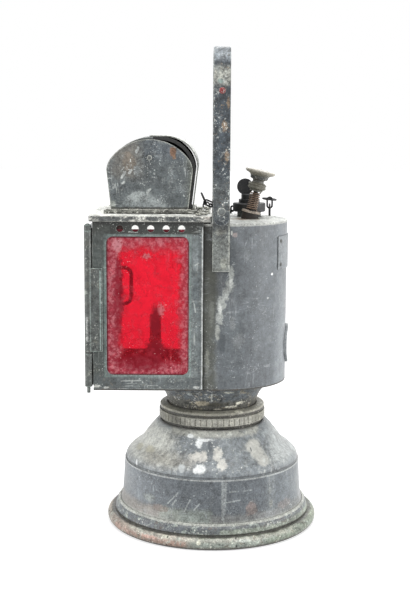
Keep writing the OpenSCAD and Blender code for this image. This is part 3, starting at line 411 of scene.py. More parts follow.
def shoulder_paint():
    p = Paint("shoulder_paint", (129, 135, 138), 24, broad=0.7, cloud=0.75, grain=1, streaks=0.4, fleck=0.8)
    # Paler to the left and right, olive and buff dirt on the left, greyer towards the seam, dusty under the
    # nut
    p.slab((204, 205, 197), 0.85, x=(-70, -28), z=(52, 76), soft=6, fray=2.6, size=7)
    p.slab((190, 194, 192), 0.7, x=(42, 70), z=(51, 76), soft=6, fray=2, size=7)
    p.slab((160, 155, 144), 0.5, x=(-50, -14), z=(54, 62), soft=4, fray=2, size=7)
    p.slab((124, 130, 134), 0.7, z=(46, 54), soft=3, fray=1.6)
    p.slab((184, 184, 174), 0.75, x=(-30, 34), z=(74, 80), soft=1.6, fray=1)
    p.stains((112, 118, 122), 0.5, 8, 0.56, 0.66)
    p.stains((192, 193, 186), 0.38, 5, 0.56, 0.66, 1)
    white = (232, 235, 234)
    beige = (202, 200, 193)
    buff = (194, 194, 187)
    p.chips(
        ((92, 98, 102), 0.5, (-4, -52, 66), (15, 12, 10), 0.6, 4),
        ((188, 184, 156), 0.55, (-54.4, -17.2, 59.8), (4, 8, 3), 0.5),
        ((184, 180, 156), 0.5, (-46.2, -30.5, 61.3), (6, 8, 2.6), 0.5),
        (white, 0.9, (-56, -33.3, 52.1), (1, 4, 3.2), 0.2),
        (white, 0.97, (-15.9, -41.9, 74.6), (3, 6, 1.7), 0.16),
        (white, 1, (-9.6, -46.4, 70.4), (3.2, 7, 4.6), 0.35),
        (white, 0.97, (-5, -46, 72.6), (7.5, 6, 1.3), 0.18, 1.4),
        (beige, 1, (-11.6, -55, 62.6), (6.8, 8, 4.6), 0.4),
        (beige, 1, (-6.2, -55.6, 63), (3.8, 8, 5.2), 0.35),
        (white, 1, (-8.5, -62.8, 55.8), (4.6, 7, 3.8), 0.3),
        (white, 0.95, (-12, -62, 54.4), (2.4, 7, 2.3), 0.18),
        ((192, 197, 197), 0.9, (-22.1, -59.1, 55.4), (2.9, 7, 3.6), 0.25),
        ((76, 82, 86), 0.8, (-1.4, -48.6, 69.2), (2.2, 8, 5.4), 0.2),
        ((204, 203, 196), 1, (4.4, -55, 64.6), (4.4, 9, 7.4), 0.4),
        ((208, 207, 200), 1, (7.2, -60.4, 58.8), (4.4, 9, 5.6), 0.4),
        (buff, 1, (30.6, -42, 67.4), (7.4, 14, 5.8), 0.12),
        (buff, 1, (34.2, -46, 63), (7.8, 14, 6), 0.12),
        ((190, 190, 184), 1, (38.2, -49.6, 58.6), (6.4, 14, 5), 0.12),
    )
    p.hairlines((192, 196, 194), 0.5)
    p.specks((220, 222, 216), 0.85, 1.5, 0.645, 10)
    p.specks((74, 78, 78), 0.4, 1.3, 0.655, 9, 3)
    p.scratches((74, 78, 78), 0.85, ((25.6, -38.6, 69.6), (31.6, -48.6, 60.6)),
        ((31.6, -48.6, 60.6), (37.4, -52.6, 55.6)), fray=0.15)
    p.scratches((198, 202, 198), 0.75, ((38.2, -45, 58.4), (38.2, -54.6, 50)),
        ((42.7, -42.3, 57.7), (43.5, -49.5, 50)), ((7.4, -57.5, 58.6), (7.5, -65, 50)), width=0.75, fray=0.3)
    p.slab((64, 66, 66), 0.6, z=(49.3, 50.3), soft=0.3, fray=0.2)
    p.corner_shade_and_dirt((32, 30, 26), 0.9, 4)
    return p.done(0.46, dent=2.4, **SHEEN)


def neck_paint():
    p = Paint("neck_paint", (92, 98, 102), 14, cloud=1.2, grain=1.8, streaks=0.5, fleck=1.1)
    p.slab((84, 83, 76), 0.85, z=(84, 99), soft=2, fray=2.2)
    p.stains((152, 144, 124), 0.7, 5, 0.54, 0.64)
    p.stains((60, 58, 50), 0.6, 6, 0.56, 0.66, 2)
    p.specks((214, 212, 204), 0.9, 1.6, 0.6, 8)
    p.specks((40, 38, 34), 0.7, 1.5, 0.62, 8, 3)
    p.patches(
        ((216, 213, 198), 0.95, (21, -28.6, 96.5), (5, 6, 1.6), 0.5),
        ((210, 208, 194), 0.9, (14, -31.4, 94), (6, 6, 1.2), 0.5),
        ((206, 202, 186), 0.85, (4, -34, 92.6), (4, 6, 1), 0.5),
        ((174, 166, 146), 0.85, (-8, -33, 97), (8, 6, 2.4), 0.6, 4),
        ((60, 58, 50), 0.8, (2, -34, 96.4), (9, 6, 1.8), 0.6, 4),
        ((180, 186, 184), 0.8, (-16.5, -34.5, 106), (3, 6, 2.6), 0.6),
        ((196, 198, 192), 0.9, (-0.5, -38.6, 103), (0.9, 5, 7), 0.5),
        ((176, 176, 164), 0.7, (12, -40, 107), (4, 6, 1.4), 0.5),
    )
    p.corner_shade_and_dirt((26, 25, 22), 0.9, 5)
    return p.done(0.55, bump=0.6, dent=1.5)


def foot_paint():
    p = Paint("foot_paint", (106, 110, 112), 7, grain=1.5, streaks=0.2, fleck=0.9)
    # The bead: copper pink on the left, green and grey on the right
    p.slab((150, 142, 132), 1, z=(-2, 9.4), soft=0.5)
    p.slab((158, 128, 116), 0.75, x=(-74, -16), z=(-2, 7), soft=3, fray=2, size=7)
    p.slab((148, 158, 150), 0.85, x=(-16, 90), z=(-2, 9.6), soft=5, fray=3, size=7)
    p.slab((134, 144, 126), 0.7, x=(40, 90), z=(-2, 9.6), soft=4, fray=3)
    # Painted highlight along the top of the bead
    p.slab((196, 194, 182), 0.55, x=(-60, 60), z=(6.6, 9.4), soft=1, fray=0.5)
    # Painted shade on the underside of the bead
    p.slab((96, 90, 80), 0.75, z=(-2, 2.6), soft=1.2, fray=0.5)
    # Verdigris creeps up over the groove, mostly on the right
    p.slab((142, 150, 134), 0.7, x=(-10, 90), z=(8.6, 13.4), soft=0.8, fray=1.2)
    p.slab((92, 97, 102), 0.8, x=(-90, 6), z=(10.4, 15.2), soft=0.6, fray=0.4, size=7)
    p.stains((176, 186, 176), 0.6, 4.5, 0.54, 0.62)
    p.stains((104, 88, 72), 0.6, 6, 0.56, 0.66, 2)
    p.stains((84, 92, 76), 0.6, 3.5, 0.6, 0.66, 4)
    p.specks((220, 222, 210), 0.85, 1.5, 0.61, 9)
    p.specks((50, 46, 38), 0.8, 1.4, 0.62, 9, 3)
    p.patches(
        ((206, 158, 142), 0.5, (-44, -63, 6), (9, 8, 1.6), 0.5, 4),
        ((226, 226, 208), 0.9, (-9, -78.2, 6), (2.4, 4, 2.4), 0.4),
        ((200, 200, 184), 0.8, (-33, -70, 8), (4.4, 5, 1.2), 0.4),
        ((206, 212, 204), 0.7, (22, -74, 7), (6, 6, 1.4), 0.6),
        ((60, 52, 40), 0.7, (46, -63, 9.4), (8, 6, 1), 0.5),
    )
    dark = (30, 28, 24)
    p.scratches(dark, 0.95, ((-31.4, -71.6, 9), (-32.4, -72.6, 2)), ((17.2, -75, 9.4), (17.8, -78.6, 2)),
        ((58.5, -46.6, 9.8), (62.6, -49, 4.6)), ((56, -49.4, 9.8), (58.5, -47, 10)),
        ((-78, -14, 9), (-79, -9, 5)), width=0.6)
    # Painted shade in the groove over the bead
    p.slab((50, 48, 42), 0.85, z=(8.9, 10.5), soft=0.35, fray=0.3)
    p.slab((184, 186, 178), 0.75, z=(15.8, 18), soft=0.35, fray=0.25)
    # Painted shadow along the bottom of the bead
    p.slab((40, 38, 33), 0.8, z=(-2, 1), soft=0.6, fray=0.3)
    p.edge((204, 204, 192), 0.45)
    p.corner_shade_and_dirt((28, 28, 25), 0.9, 4)
    return p.done(0.42, bump=0.6, dent=1.4)


def nut_paint():
    p = Paint("nut_paint", (143, 142, 131), 8, broad=1.2, cloud=0.8, grain=1.4, fleck=0.5)
    lines = p.t.noise(1.1, 2, 0.6, stretch=(1, 1, 0.03), seed=83)
    p.tint(p.t.step(lines, 0.52, 0.42), (96, 95, 86), 0.65)
    # Painted highlight in the middle of the band, painted shade on its left
    p.slab((204, 203, 194), 0.75, x=(-22, 30), z=(80, 87), soft=8, fray=2, size=7)
    p.slab((100, 99, 88), 0.7, x=(-90, -24), z=(80, 87), soft=5, fray=2, size=7)
    # Painted shade makes the groove over the band black; a painted highlight runs pale along the edge of the
    # ring over it
    p.slab((50, 49, 43), 0.92, z=(87, 88.9), soft=0.25, fray=0.12)
    p.slab((152, 150, 138), 0.8, z=(89, 92), soft=0.3, fray=0.2)
    p.slab((166, 164, 150), 0.75, z=(89.9, 90.9), soft=0.25, fray=0.3)
    # Painted shadow in the gap under the band
    p.slab((30, 29, 26), 0.95, z=(78, 80.5), soft=0.2)
    p.stains((96, 88, 70), 0.5, 7, 0.58, 0.68, 2)
    p.specks((214, 212, 198), 0.75, 1.5, 0.62, 9)
    p.specks((50, 48, 42), 0.6, 1.4, 0.64, 9, 3)
    p.patches(((214, 212, 196), 0.85, (20.6, -34.5, 91), (5, 6, 1.6), 0.5))
    p.edge((190, 188, 174), 0.6, 0.7)
    p.corner_shade_and_dirt((22, 21, 18), 0.95, 3)
    return p.done(0.45, dent=0.8)


# Lamp house: tank, case, door

def tank_paint():
    p = Paint("tank_paint", (109, 114, 118), 1, broad=0.6, cloud=0.6, grain=0.8, streaks=0.25, fleck=0.4)
    # Painted light: paler towards the right edge, which faces the light
    p.slab((150, 155, 159), 0.75, x=(47, 60), soft=5, fray=1.5, size=7)
    # Olive dirt with painted shade in the corner beside the case; a black painted shadow cast by the bracket
    # to its left, and painted shade behind it
    p.slab((84, 86, 78), 0.92, x=(-20, 2.5), y=NEAR, soft=2.2, fray=1.6, size=7)
    p.slab((38, 39, 35), 0.95, x=(-20, -0.4), y=NEAR, z=(198, 240), soft=1.6, fray=1)
    p.slab((70, 72, 65), 0.6, x=(-20, 4), y=NEAR, z=(176, 204), soft=5, fray=2, size=7)
    p.slab((88, 94, 98), 0.7, x=(8, 16), y=NEAR, z=(192, 226), soft=2, fray=1.4)
    p.slab((104, 111, 115), 0.5, x=(2, 22), y=NEAR, z=(112, 168), soft=6, fray=3, size=12)
    # Solder and bare tin that run down from the bracket
    tin = (188, 192, 188)
    core = (220, 223, 219)
    p.patches(
        (tin, 0.85, (12.8, -49.4, 195.6), (2.4, 5, 7), 0.35),
        (tin, 0.9, (12, -49.6, 187.6), (3.4, 5, 6), 0.35),
        (tin, 0.9, (9, -49.8, 181), (3.2, 5, 6), 0.35),
        (tin, 0.9, (5.8, -49.9, 174), (3.6, 5, 7), 0.4),
        (tin, 0.85, (4.4, -50, 164.5), (3.2, 5, 8), 0.4),
        ((180, 183, 176), 0.8, (3.4, -50, 153.4), (2.4, 5, 8), 0.4),
        (core, 0.9, (12.6, -49.6, 189.5), (1.6, 5, 4), 0.3, 1.4),
        (core, 0.8, (5, -50, 170.5), (1.6, 5, 5), 0.35, 1.4),
        ((132, 135, 128), 0.5, (-1, -49.8, 168), (2.4, 5, 12), 0.6),
        ((150, 152, 142), 0.6, (-4.2, -49.2, 131), (2.2, 5, 13), 0.6),
        ((186, 170, 166), 0.6, (15.1, -49, 223.6), (2.4, 4, 2.2), 0.3),
        ((224, 225, 220), 0.85, (12.8, -49.3, 225), (0.9, 3, 1.8), 0.2, 1.4),
        ((240, 241, 240), 0.95, (42.7, -33.2, 193.8), (1.1, 3, 1.2), 0.1, 1.4),
        ((88, 92, 94), 0.6, (26, -45.6, 207), (2.2, 4, 1.6), 0.3),
        ((150, 154, 154), 0.5, (14, -49, 160), (2.4, 4, 7), 0.5),
        ((144, 148, 149), 0.5, (18, -48, 147), (6, 5, 7), 0.6),
        ((72, 78, 82), 0.7, (6, -50, 146), (4, 5, 9), 0.5, 4),
        ((204, 206, 204), 0.7, (39.9, -36.1, 176.6), (1.1, 3, 0.9), 0.2, 1.4),
    )
    p.stains((146, 151, 152), 0.4, 12, 0.55, 0.68)
    p.stains((98, 104, 108), 0.45, 9, 0.56, 0.68, 1)
    p.hairlines((172, 176, 178), 0.5)
    p.specks((206, 209, 208), 0.75, 1.1, 0.66, 13)
    p.specks((72, 75, 75), 0.65, 1.3, 0.65, 12, 3)
    p.slab((206, 207, 200), 0.7, x=(-8, 60), z=(229.6, 233), soft=0.4, fray=0.3)
    p.edge((184, 188, 186), 0.6)
    p.corner_shade_and_dirt((30, 30, 26), 0.9, 4)
    return p.done(0.44, bump=0.35)


def plate_paint():
    # The ground is paler than the tank's, a painted light: the plate faces the light on the right
    p = Paint("plate_paint", (146, 151, 154), 27, broad=0.4, cloud=0.7, grain=1.1, fleck=0.4)
    p.stains((120, 125, 128), 0.4, 8)
    p.specks((206, 209, 208), 0.7, 1.2, 0.65, 10)
    p.specks((72, 75, 75), 0.65, 1.3, 0.65, 9, 3)
    p.edge((196, 200, 198), 0.7)
    p.corner_shade_and_dirt((30, 30, 26), 0.95, 3)
    return p.done(0.44, bump=0.35, dent=1)


def case_paint():
    p = Paint("case_paint", (113, 120, 121), 2, broad=0.7, grain=1.2, streaks=0.3, fleck=0.6)
    front = -50.6
    p.slab((72, 78, 75), 0.92, x=(-100, -72), y=(-60, 20), soft=8, fray=3, size=12)
    # The strip under the window
    p.slab((88, 94, 95), 0.75, y=NEAR, z=(110, 121), soft=2, fray=1.4, size=7)
    p.stains((150, 156, 152), 0.4, 9, 0.55, 0.66)
    p.stains((82, 83, 74), 0.5, 10, 0.56, 0.68, 1)
    p.stains((136, 128, 112), 0.4, 5, 0.6, 0.68, 2)
    # Painted shadow under the roof's overhang, darkest just under the roof
    p.slab((38, 40, 36), 0.93, x=(-74, 0), y=NEAR, z=(223.6, 236), soft=1.2, fray=0.6, size=7)
    p.slab((54, 57, 53), 0.85, x=(-100, -74), y=NEAR, z=(223.6, 236), soft=1.2, fray=0.6, size=7)
    p.slab((28, 29, 27), 0.9, y=NEAR, z=(230.4, 240), soft=1.2, fray=0.8)
    # The folded edge beside the tank: a darker strip, then a bright line along its corner
    fold = (-52, -49)
    p.slab((86, 91, 93), 0.5, x=(-10.6, -8.6), y=fold, z=(108, 229), soft=0.5, fray=0.3, size=7)
    p.slab((222, 225, 223), 0.85, x=(-8.3, -7.6), y=fold, z=(108, 229), soft=0.25, fray=0.22, size=7)
    # A fine line of old putty round the window
    p.slab((140, 160, 154), 0.45, x=(-78, -15.8), y=(-52, -48), z=(120.4, 223.8), soft=0.5, fray=0.25)
    p.slab((112, 119, 119), 0.7, x=(-77, -16.8), y=(-52, -48), z=(121.4, 222.8), soft=0.3, fray=0.2)
    p.hairlines((184, 188, 184), 0.6)
    p.specks((212, 215, 210), 0.8, 1.2, 0.645, 11)
    p.specks((60, 61, 56), 0.75, 1.3, 0.645, 10, 3)
    p.patches(
        ((206, 208, 202), 0.9, (-84, front, 113.6), (3.4, 3, 1.3), 0.35, 1.4),
        ((214, 216, 212), 0.85, (-77, front, 112.6), (2.6, 3, 1), 0.35, 1.4),
        ((206, 208, 204), 0.8, (-12, front, 113), (3, 3, 1.2), 0.35, 1.4),
        ((96, 104, 108), 0.6, (-12.5, front, 180), (3, 3, 16), 0.4, 4),
        ((150, 158, 160), 0.6, (-12.8, front, 206), (2.6, 3, 9), 0.4, 4),
        ((70, 74, 72), 0.6, (-80, front, 222), (5, 3, 6), 0.4, 4),
    )
    p.scratches((196, 200, 196), 0.6, ((-13, front, 202), (-10.5, front, 203.5)),
        ((-14, front, 176), (-12.6, front, 168)), ((-66, front, 117.5), (-52, front, 117.9)),
        ((-60, front, 225.6), (-54, front, 225.2)), width=0.4, fray=0.3)
    p.edge((186, 192, 186), 0.65, 0.8, 0.44)
    p.corner_shade_and_dirt((28, 28, 25), 0.85, 4)
    return p.done(0.48, bump=0.4, dent=2.2)


def door_paint():
    p = Paint("door_paint", (120, 124, 124), 28, cloud=1.1, grain=1.9, streaks=0.3, fleck=1)
    # Painted highlight, white, by the hinge barrel
    p.slab((236, 238, 236), 0.9, x=(-92, -88), y=(-60, -49), z=(146, 162), soft=1.2, fray=0.8, size=2.4)
    p.stains((156, 161, 158), 0.5, 7, 0.55, 0.66)
    p.stains((84, 86, 79), 0.5, 8, 0.56, 0.68, 1)
    p.hairlines((190, 194, 190), 0.6)
    p.specks((216, 219, 214), 0.8, 1.3, 0.64, 10)
    p.specks((54, 54, 50), 0.75, 1.3, 0.64, 10, 3)
    p.edge((196, 202, 196), 0.8, 0.9, 0.4)
    p.corner_shade_and_dirt((28, 28, 25), 0.85, 4)
    return p.done(0.46, bump=0.45, dent=1.8)


def leaf_paint():
    p = Paint("leaf_paint", (86, 90, 88), 22, cloud=1.2, grain=1.5, streaks=0.5, fleck=1)
    p.stains((88, 84, 70), 0.5, 7, 0.54, 0.68)
    p.stains((160, 166, 158), 0.5, 4, 0.58, 0.66, 1)
    p.specks((214, 216, 208), 0.8, 1.3, 0.63, 9)
    p.specks((52, 50, 46), 0.7, 1.5, 0.63, 9, 3)
    # Painted highlight on the hinge barrel
    p.slab((206, 209, 207), 0.65, x=(-91, -89.4), y=(-60, -48), z=(146, 164), soft=0.5, fray=0.6, size=2.4)
    p.slab((34, 34, 32), 0.9, x=(-95, -86), y=(-60, -40), z=(137.7, 138.9), soft=0.3, fray=0.1)
    # Painted highlight along the right edge of the barrel
    p.slab((150, 156, 153), 0.4, x=(-88.2, -87.2), y=(-60, -48), z=(140, 226), soft=0.3, fray=0.3)
    p.slab((164, 184, 178), 0.8, x=(-81, -80.3), y=(-60, -49), z=(140, 198), soft=0.25, fray=0.1)
    p.edge((186, 204, 196), 0.8, 0.9, 0.4)
    p.corner_shade_and_dirt((26, 26, 23), 0.9, 4)
    return p.done(0.5, dent=1.2)


def chimney_paint():
    p = Paint("chimney_paint", (93, 99, 101), 3, broad=0.6, cloud=1, grain=1.7, fleck=0.9)
    face = -29.4
    above = -29.5
    # Heat has browned the upper left and greened the right edge
    p.slab((116, 112, 105), 0.7, x=(-74, -52), z=(262, 288), soft=5, fray=3, size=7)
    p.slab((100, 102, 90), 0.6, x=(-19, -10), z=(240, 284), soft=3, fray=1.6, size=7)
    p.slab((98, 106, 113), 0.6, x=(-50, -20), z=(276, 292), soft=4, fray=2, size=7)
    p.patches(
        ((148, 155, 156), 0.85, (-52, face, 246), (17, 9, 8.5), 0.3, 7),
        ((174, 180, 180), 0.75, (-55, face, 249), (10, 9, 4.5), 0.4, 4),
        ((150, 156, 157), 0.6, (-40, face, 243.5), (9, 9, 5), 0.35, 4),
        ((132, 98, 74), 0.9, (above, face, 281.6), (2.8, 5, 5), 0.25),
        ((164, 128, 98), 0.8, (-28.6, face, 277.6), (1.8, 5, 2), 0.25, 1.4),
        ((70, 76, 80), 0.7, (-46.5, face, 277), (4, 5, 3.6), 0.25),
        ((122, 112, 100), 0.7, (-61, face, 273), (6, 5, 9), 0.4, 4),
        ((150, 156, 157), 0.7, (-55.5, face, 268), (3, 5, 5), 0.35),
        ((172, 176, 168), 0.6, (-74, face, 243), (4, 5, 3.6), 0.4),
        ((78, 84, 86), 0.6, (-27, face, 246), (13, 5, 4), 0.35, 4),
    )
    p.scratches((200, 204, 202), 0.85, ((-66.6, above, 262.5), (-64, above, 266.5)),
        ((-61, above, 266), (-59.5, above, 268)),
        ((-66, above, 258.5), (-64.8, above, 259.5)), ((-56, above, 281), (-54.6, above, 284)),
        ((-48, above, 252), (-46, above, 254.6)), width=0.8, fray=0.5)
    p.stains((80, 85, 86), 0.55, 8, 0.55, 0.66)
    p.stains((146, 151, 150), 0.45, 6, 0.57, 0.66, 1)
    p.hairlines((186, 190, 188), 0.6)
    p.specks((212, 216, 214), 0.8, 1.3, 0.635, 10)
    p.specks((46, 47, 45), 0.75, 1.3, 0.64, 10, 3)
    # Painted shade and dirt along the foot of the plate
    p.slab((56, 55, 49), 0.8, z=(238.6, 241.6), soft=0.6, fray=0.5, size=2.4)
    p.edge((204, 206, 197), 0.9, 1.5, 0.36)
    p.corner_shade_and_dirt((28, 28, 25), 0.85, 4)
    return p.done(0.46, dent=3)


def cover_paint():
    p = Paint("cover_paint", (140, 142, 139), 33, cloud=1, grain=1.5, fleck=0.9)
    # Pale dust and bare metal on what looks up, with painted light from above; soot and painted shade under
    # it
    p.top((226, 228, 222), 0.95, 0.2, 0.6)
    p.stains((110, 112, 106), 0.6, 6, 0.54, 0.64)
    p.specks((222, 224, 218), 0.8, 1.4, 0.62, 8)
    p.specks((40, 41, 39), 0.75, 1.3, 0.63, 8, 3)
    p.edge((214, 216, 208), 0.8, 1, 0.4)
    p.corner_shade_and_dirt((22, 21, 19), 0.9, 4)
    return p.done(0.5, bump=0.6)


def soot_and_shade_paint(name, seed, **inside):
    """Galvanised grey that is black with soot and painted shade inside the given limits."""
    p = Paint(name, (98, 103, 104), seed, broad=0.6, cloud=1, fleck=0.9)
    p.stains((80, 85, 86), 0.55, 8, 0.55, 0.66)
    p.stains((140, 145, 143), 0.45, 6, 0.57, 0.66, 1)
    p.specks((212, 216, 214), 0.8, 1.3, 0.635, 10)
    p.edge((204, 206, 197), 0.7, 1, 0.4)
    p.slab((24, 23, 22), 0.96, soft=0.3, **inside)
    p.specks((96, 92, 84), 0.5, 1.2, 0.65, 8, 5)
    p.corner_shade_and_dirt((14, 13, 12), 0.8, 5)
    return p.done(0.6, bump=0.6, dent=1.4)


def handle_paint():
    p = Paint("handle_paint", (63, 70, 76), 5, cloud=1.5, grain=2.3, streaks=0.2, fleck=1.5)
    arm = -54
    p.slab((176, 177, 168), 0.8, z=(329, 341), soft=3, fray=2.4)
    # Painted reflection: paler where the bail bends over at the top
    p.slab((146, 154, 160), 0.6, z=(345, 360), soft=3, fray=2, size=7)
    p.slab((96, 101, 101), 0.6, z=(236, 262), soft=5, fray=3, size=7)
    p.patches(
        ((140, 118, 96), 0.85, (7.2, arm, 300), (2.6, 4, 5), 0.3),
        ((148, 128, 106), 0.8, (8.8, arm, 279), (2, 4, 5.4), 0.3),
        ((136, 116, 94), 0.7, (9.6, arm, 316), (1.2, 4, 6), 0.3),
        ((76, 112, 110), 0.5, (4, arm, 331), (3, 4, 2.2), 0.3),
        ((206, 206, 196), 0.8, (-1, arm, 336), (2.4, 4, 4), 0.35),
        ((60, 66, 72), 0.5, (2, arm, 344), (6, 4, 2), 0.5),
    )
    p.stains((142, 147, 146), 0.65, 4, 0.56, 0.63)
    p.stains((56, 60, 65), 0.6, 6, 0.55, 0.65, 1)
    p.specks((212, 216, 212), 0.95, 1.3, 0.61, 8)
    p.specks((150, 128, 102), 0.7, 1.4, 0.64, 9, 3)
    p.specks((40, 42, 44), 0.7, 1.4, 0.635, 8, 5)
    p.edge((180, 184, 180), 0.7, 0.9, 0.42)
    p.corner_shade_and_dirt((26, 26, 24), 0.85, 4)
    return p.done(0.42, dent=1.2)


def bracket_paint():
    p = Paint("bracket_paint", (118, 122, 119), 6, cloud=1.1, grain=1.8, streaks=0.2, fleck=1.1)
    front = -52.4
    p.slab((94, 99, 101), 0.6, z=(222, 252), soft=6, fray=3, size=7)
    # Painted highlight: a bright upright line on the bracket
    p.slab((190, 192, 184), 0.6, x=(10.2, 12.4), z=(200, 240), soft=0.4, fray=0.4)
    p.stains((148, 151, 143), 0.5, 6, 0.55, 0.66)
    p.stains((82, 84, 80), 0.55, 7, 0.56, 0.66, 1)
    p.patches(
        ((156, 154, 142), 0.4, (5, front, 226), (5, 4, 3), 0.5),
        # Painted shadow at the foot of the bracket
        ((70, 72, 68), 0.6, (2, front, 199), (5, 4, 1.6), 0.3),
        ((168, 170, 160), 0.6, (7.5, front, 203), (3, 4, 6), 0.4),
    )
    p.specks((210, 212, 202), 0.85, 1.2, 0.635, 9)
    p.specks((48, 48, 44), 0.7, 1.3, 0.64, 9, 3)
    p.edge((204, 207, 198), 0.8, 0.9, 0.38)
    p.corner_shade_and_dirt((26, 26, 23), 0.9, 4)
    return p.done(0.44, dent=1.2)


def roof_paint():
    p = Paint("roof_paint", (88, 91, 91), 16, cloud=1.3, grain=2, fleck=1.3)
    # Pale on what looks up: dust, with painted light from above
    p.top((228, 229, 222), 1, 0.5, 0.9)
    p.stains((222, 222, 214), 0.8, 7, 0.5, 0.6, stretch=(0.6, 1, 1))
    p.stains((84, 85, 79), 0.7, 7, 0.55, 0.64, 1, (0.6, 1, 1))
    p.specks((240, 240, 233), 0.9, 1.6, 0.59, 8)
    p.specks((44, 43, 38), 0.8, 1.4, 0.62, 8, 3)
    p.patches(
        ((206, 194, 186), 0.7, (-4.8, -52, 236), (2.4, 3, 1.6), 0.3),
        ((232, 230, 222), 0.9, (-6.5, -50.5, 237), (4.4, 4, 1.8), 0.4),
        ((62, 62, 57), 0.8, (-8, -44, 237), (5, 7, 1.6), 0.5),
        ((70, 70, 64), 0.7, (-84, -46, 237), (3, 5, 1.6), 0.5),
    )
    p.edge((224, 224, 213), 0.8, 1.2, 0.42)
    p.corner_shade_and_dirt((26, 25, 22), 0.9, 3.5)
    return p.done(0.52, bump=0.8, soft=0.9, dent=1.6)


def seat_paint():
    p = Paint("seat_paint", (112, 113, 107), 26, cloud=1.2, grain=1.8, fleck=1.4)
    # Painted shade along the foot of the seat
    p.slab((40, 39, 35), 0.95, z=(236, 237.7), soft=0.35, fray=0.25)
    # Pale on what looks up: dust, with painted light from above
    p.top((222, 222, 214), 1, 0.5, 0.9)
    p.stains((210, 210, 203), 0.8, 4, 0.54, 0.62, 2, (0.5, 1, 1))
    p.stains((62, 62, 56), 0.8, 5, 0.56, 0.64, 1, (0.5, 1, 1))
    p.specks((242, 242, 236), 0.9, 1.6, 0.6, 8)
    p.specks((40, 39, 35), 0.8, 1.4, 0.63, 8, 3)
    p.corner_shade_and_dirt((26, 25, 22), 0.95, 2)
    return p.done(0.55, bump=0.8, soft=0.7, dent=1.6)


def tank_top_paint():
    p = Paint("tank_top_paint", (178, 181, 176), 17, cloud=1, grain=1.5, fleck=0.9)
    p.stains((208, 210, 204), 0.6, 10, 0.5, 0.62)
    p.stains((128, 131, 129), 0.5, 9, 0.56, 0.66, 1)
    p.stains((140, 120, 98), 0.5, 8, 0.6, 0.7, 2)
    p.patches(((112, 88, 66), 0.7, (24, -4, 231.3), (13, 12, 3), 0.6, 4))
    p.specks((226, 228, 220), 0.7, 1.4, 0.63, 9)
    p.edge((226, 227, 220), 0.8, 1, 0.38)
    p.corner_shade_and_dirt((34, 32, 28), 0.85, 3)
    return p.done(0.5, dent=1.6)


# Fittings

def plain(name, ground, seed, stain, light, rough=0.5, metal=0, edge=None, grain=1.4, corner_shade_and_dirt=0.8):
    """A small fitting with stains, specks, worn edges, and corners darkened by painted shade and dirt."""
    p = Paint(name, ground, seed, broad=0.4, grain=grain, fleck=0.5)
    p.stains(stain, 0.6, 6, 0.52, 0.66)
    p.specks(light, 0.6, 1.1, 0.64, 7)
    p.edge(edge or light, 0.6, 0.5, 0.44)
    p.corner_shade_and_dirt((24, 22, 20), corner_shade_and_dirt, 2.5)
    return p.done(rough, metal, 0.4, 0.25, 0.6)


def knob_paint():
    p = Paint("knob_paint", (150, 145, 132), 31, cloud=0.6, grain=1, fleck=0.5)
    # Pale on the top of its dish, a painted light from above, and dark in its waist: up is the height along
    # the leaning stem
    foot, lean = (27, 0, 231.3), (0.220036, 0, 0.975492)
    up = p.t.vector("DOT_PRODUCT", p.t.vector("SUBTRACT", p.t.mm(), foot), lean)
    p.tint(p.t.step(up, 33.6, 32.8), (92, 92, 88), 0.9)
    p.tint(p.t.both(p.t.step(up, 29.6, 30.1), p.t.step(up, 32.2, 31.6)), (54, 56, 57), 0.85)
    p.tint(p.t.step(up, 28.2, 27.6), (110, 108, 98), 0.7)
    p.tint(p.t.step(up, 36.1, 36.8), (194, 190, 180), 0.9)
    p.stains((120, 104, 84), 0.5, 5, 0.55, 0.66)
    p.specks((232, 230, 222), 0.7, 1.1, 0.62, 6)
    p.edge((226, 222, 210), 0.6, 0.6, 0.4)
    p.corner_shade_and_dirt((30, 28, 25), 0.9, 2.5)
    return p.done(0.45, 0, 0.4, 0.3, 0.5)


def felt():
    p = Paint("felt", (148, 138, 118), 41, cloud=1.2, grain=2.4)
    p.stains((96, 86, 70), 0.6, 5)
    return p.done(0.95, 0, 1, 0.5, 2, Sheen_Weight=0.3, Sheen_Roughness=0.5)


def steatite():
    p = Paint("steatite", (216, 206, 186), 42, grain=0.8)
    p.slab((40, 38, 36), 0.8, z=(166, 190), soft=2.5, fray=1, size=3)
    return p.done(0.6, 0, 0.3, 0.3, 0.5)


def bright_tin():
    p = Paint("bright_tin", (196, 194, 186), 43, cloud=0.6, grain=0.6)
    p.stains((120, 104, 84), 0.45, 9, 0.56, 0.7)
    p.corner_shade_and_dirt((40, 36, 30), 0.6, 3)
    return p.done(0.28, 0.85, 0.25, 0.3, 1.5)


def red_stud():
    p = Paint("red_stud", (142, 44, 46), 44, grain=1.2)
    p.specks((224, 214, 208), 0.9, 1, 0.54, 3)
    p.edge((212, 196, 186), 0.6, 0.4, 0.4)
    return p.done(0.4, 0, 0.4, 0.3, 0.6)


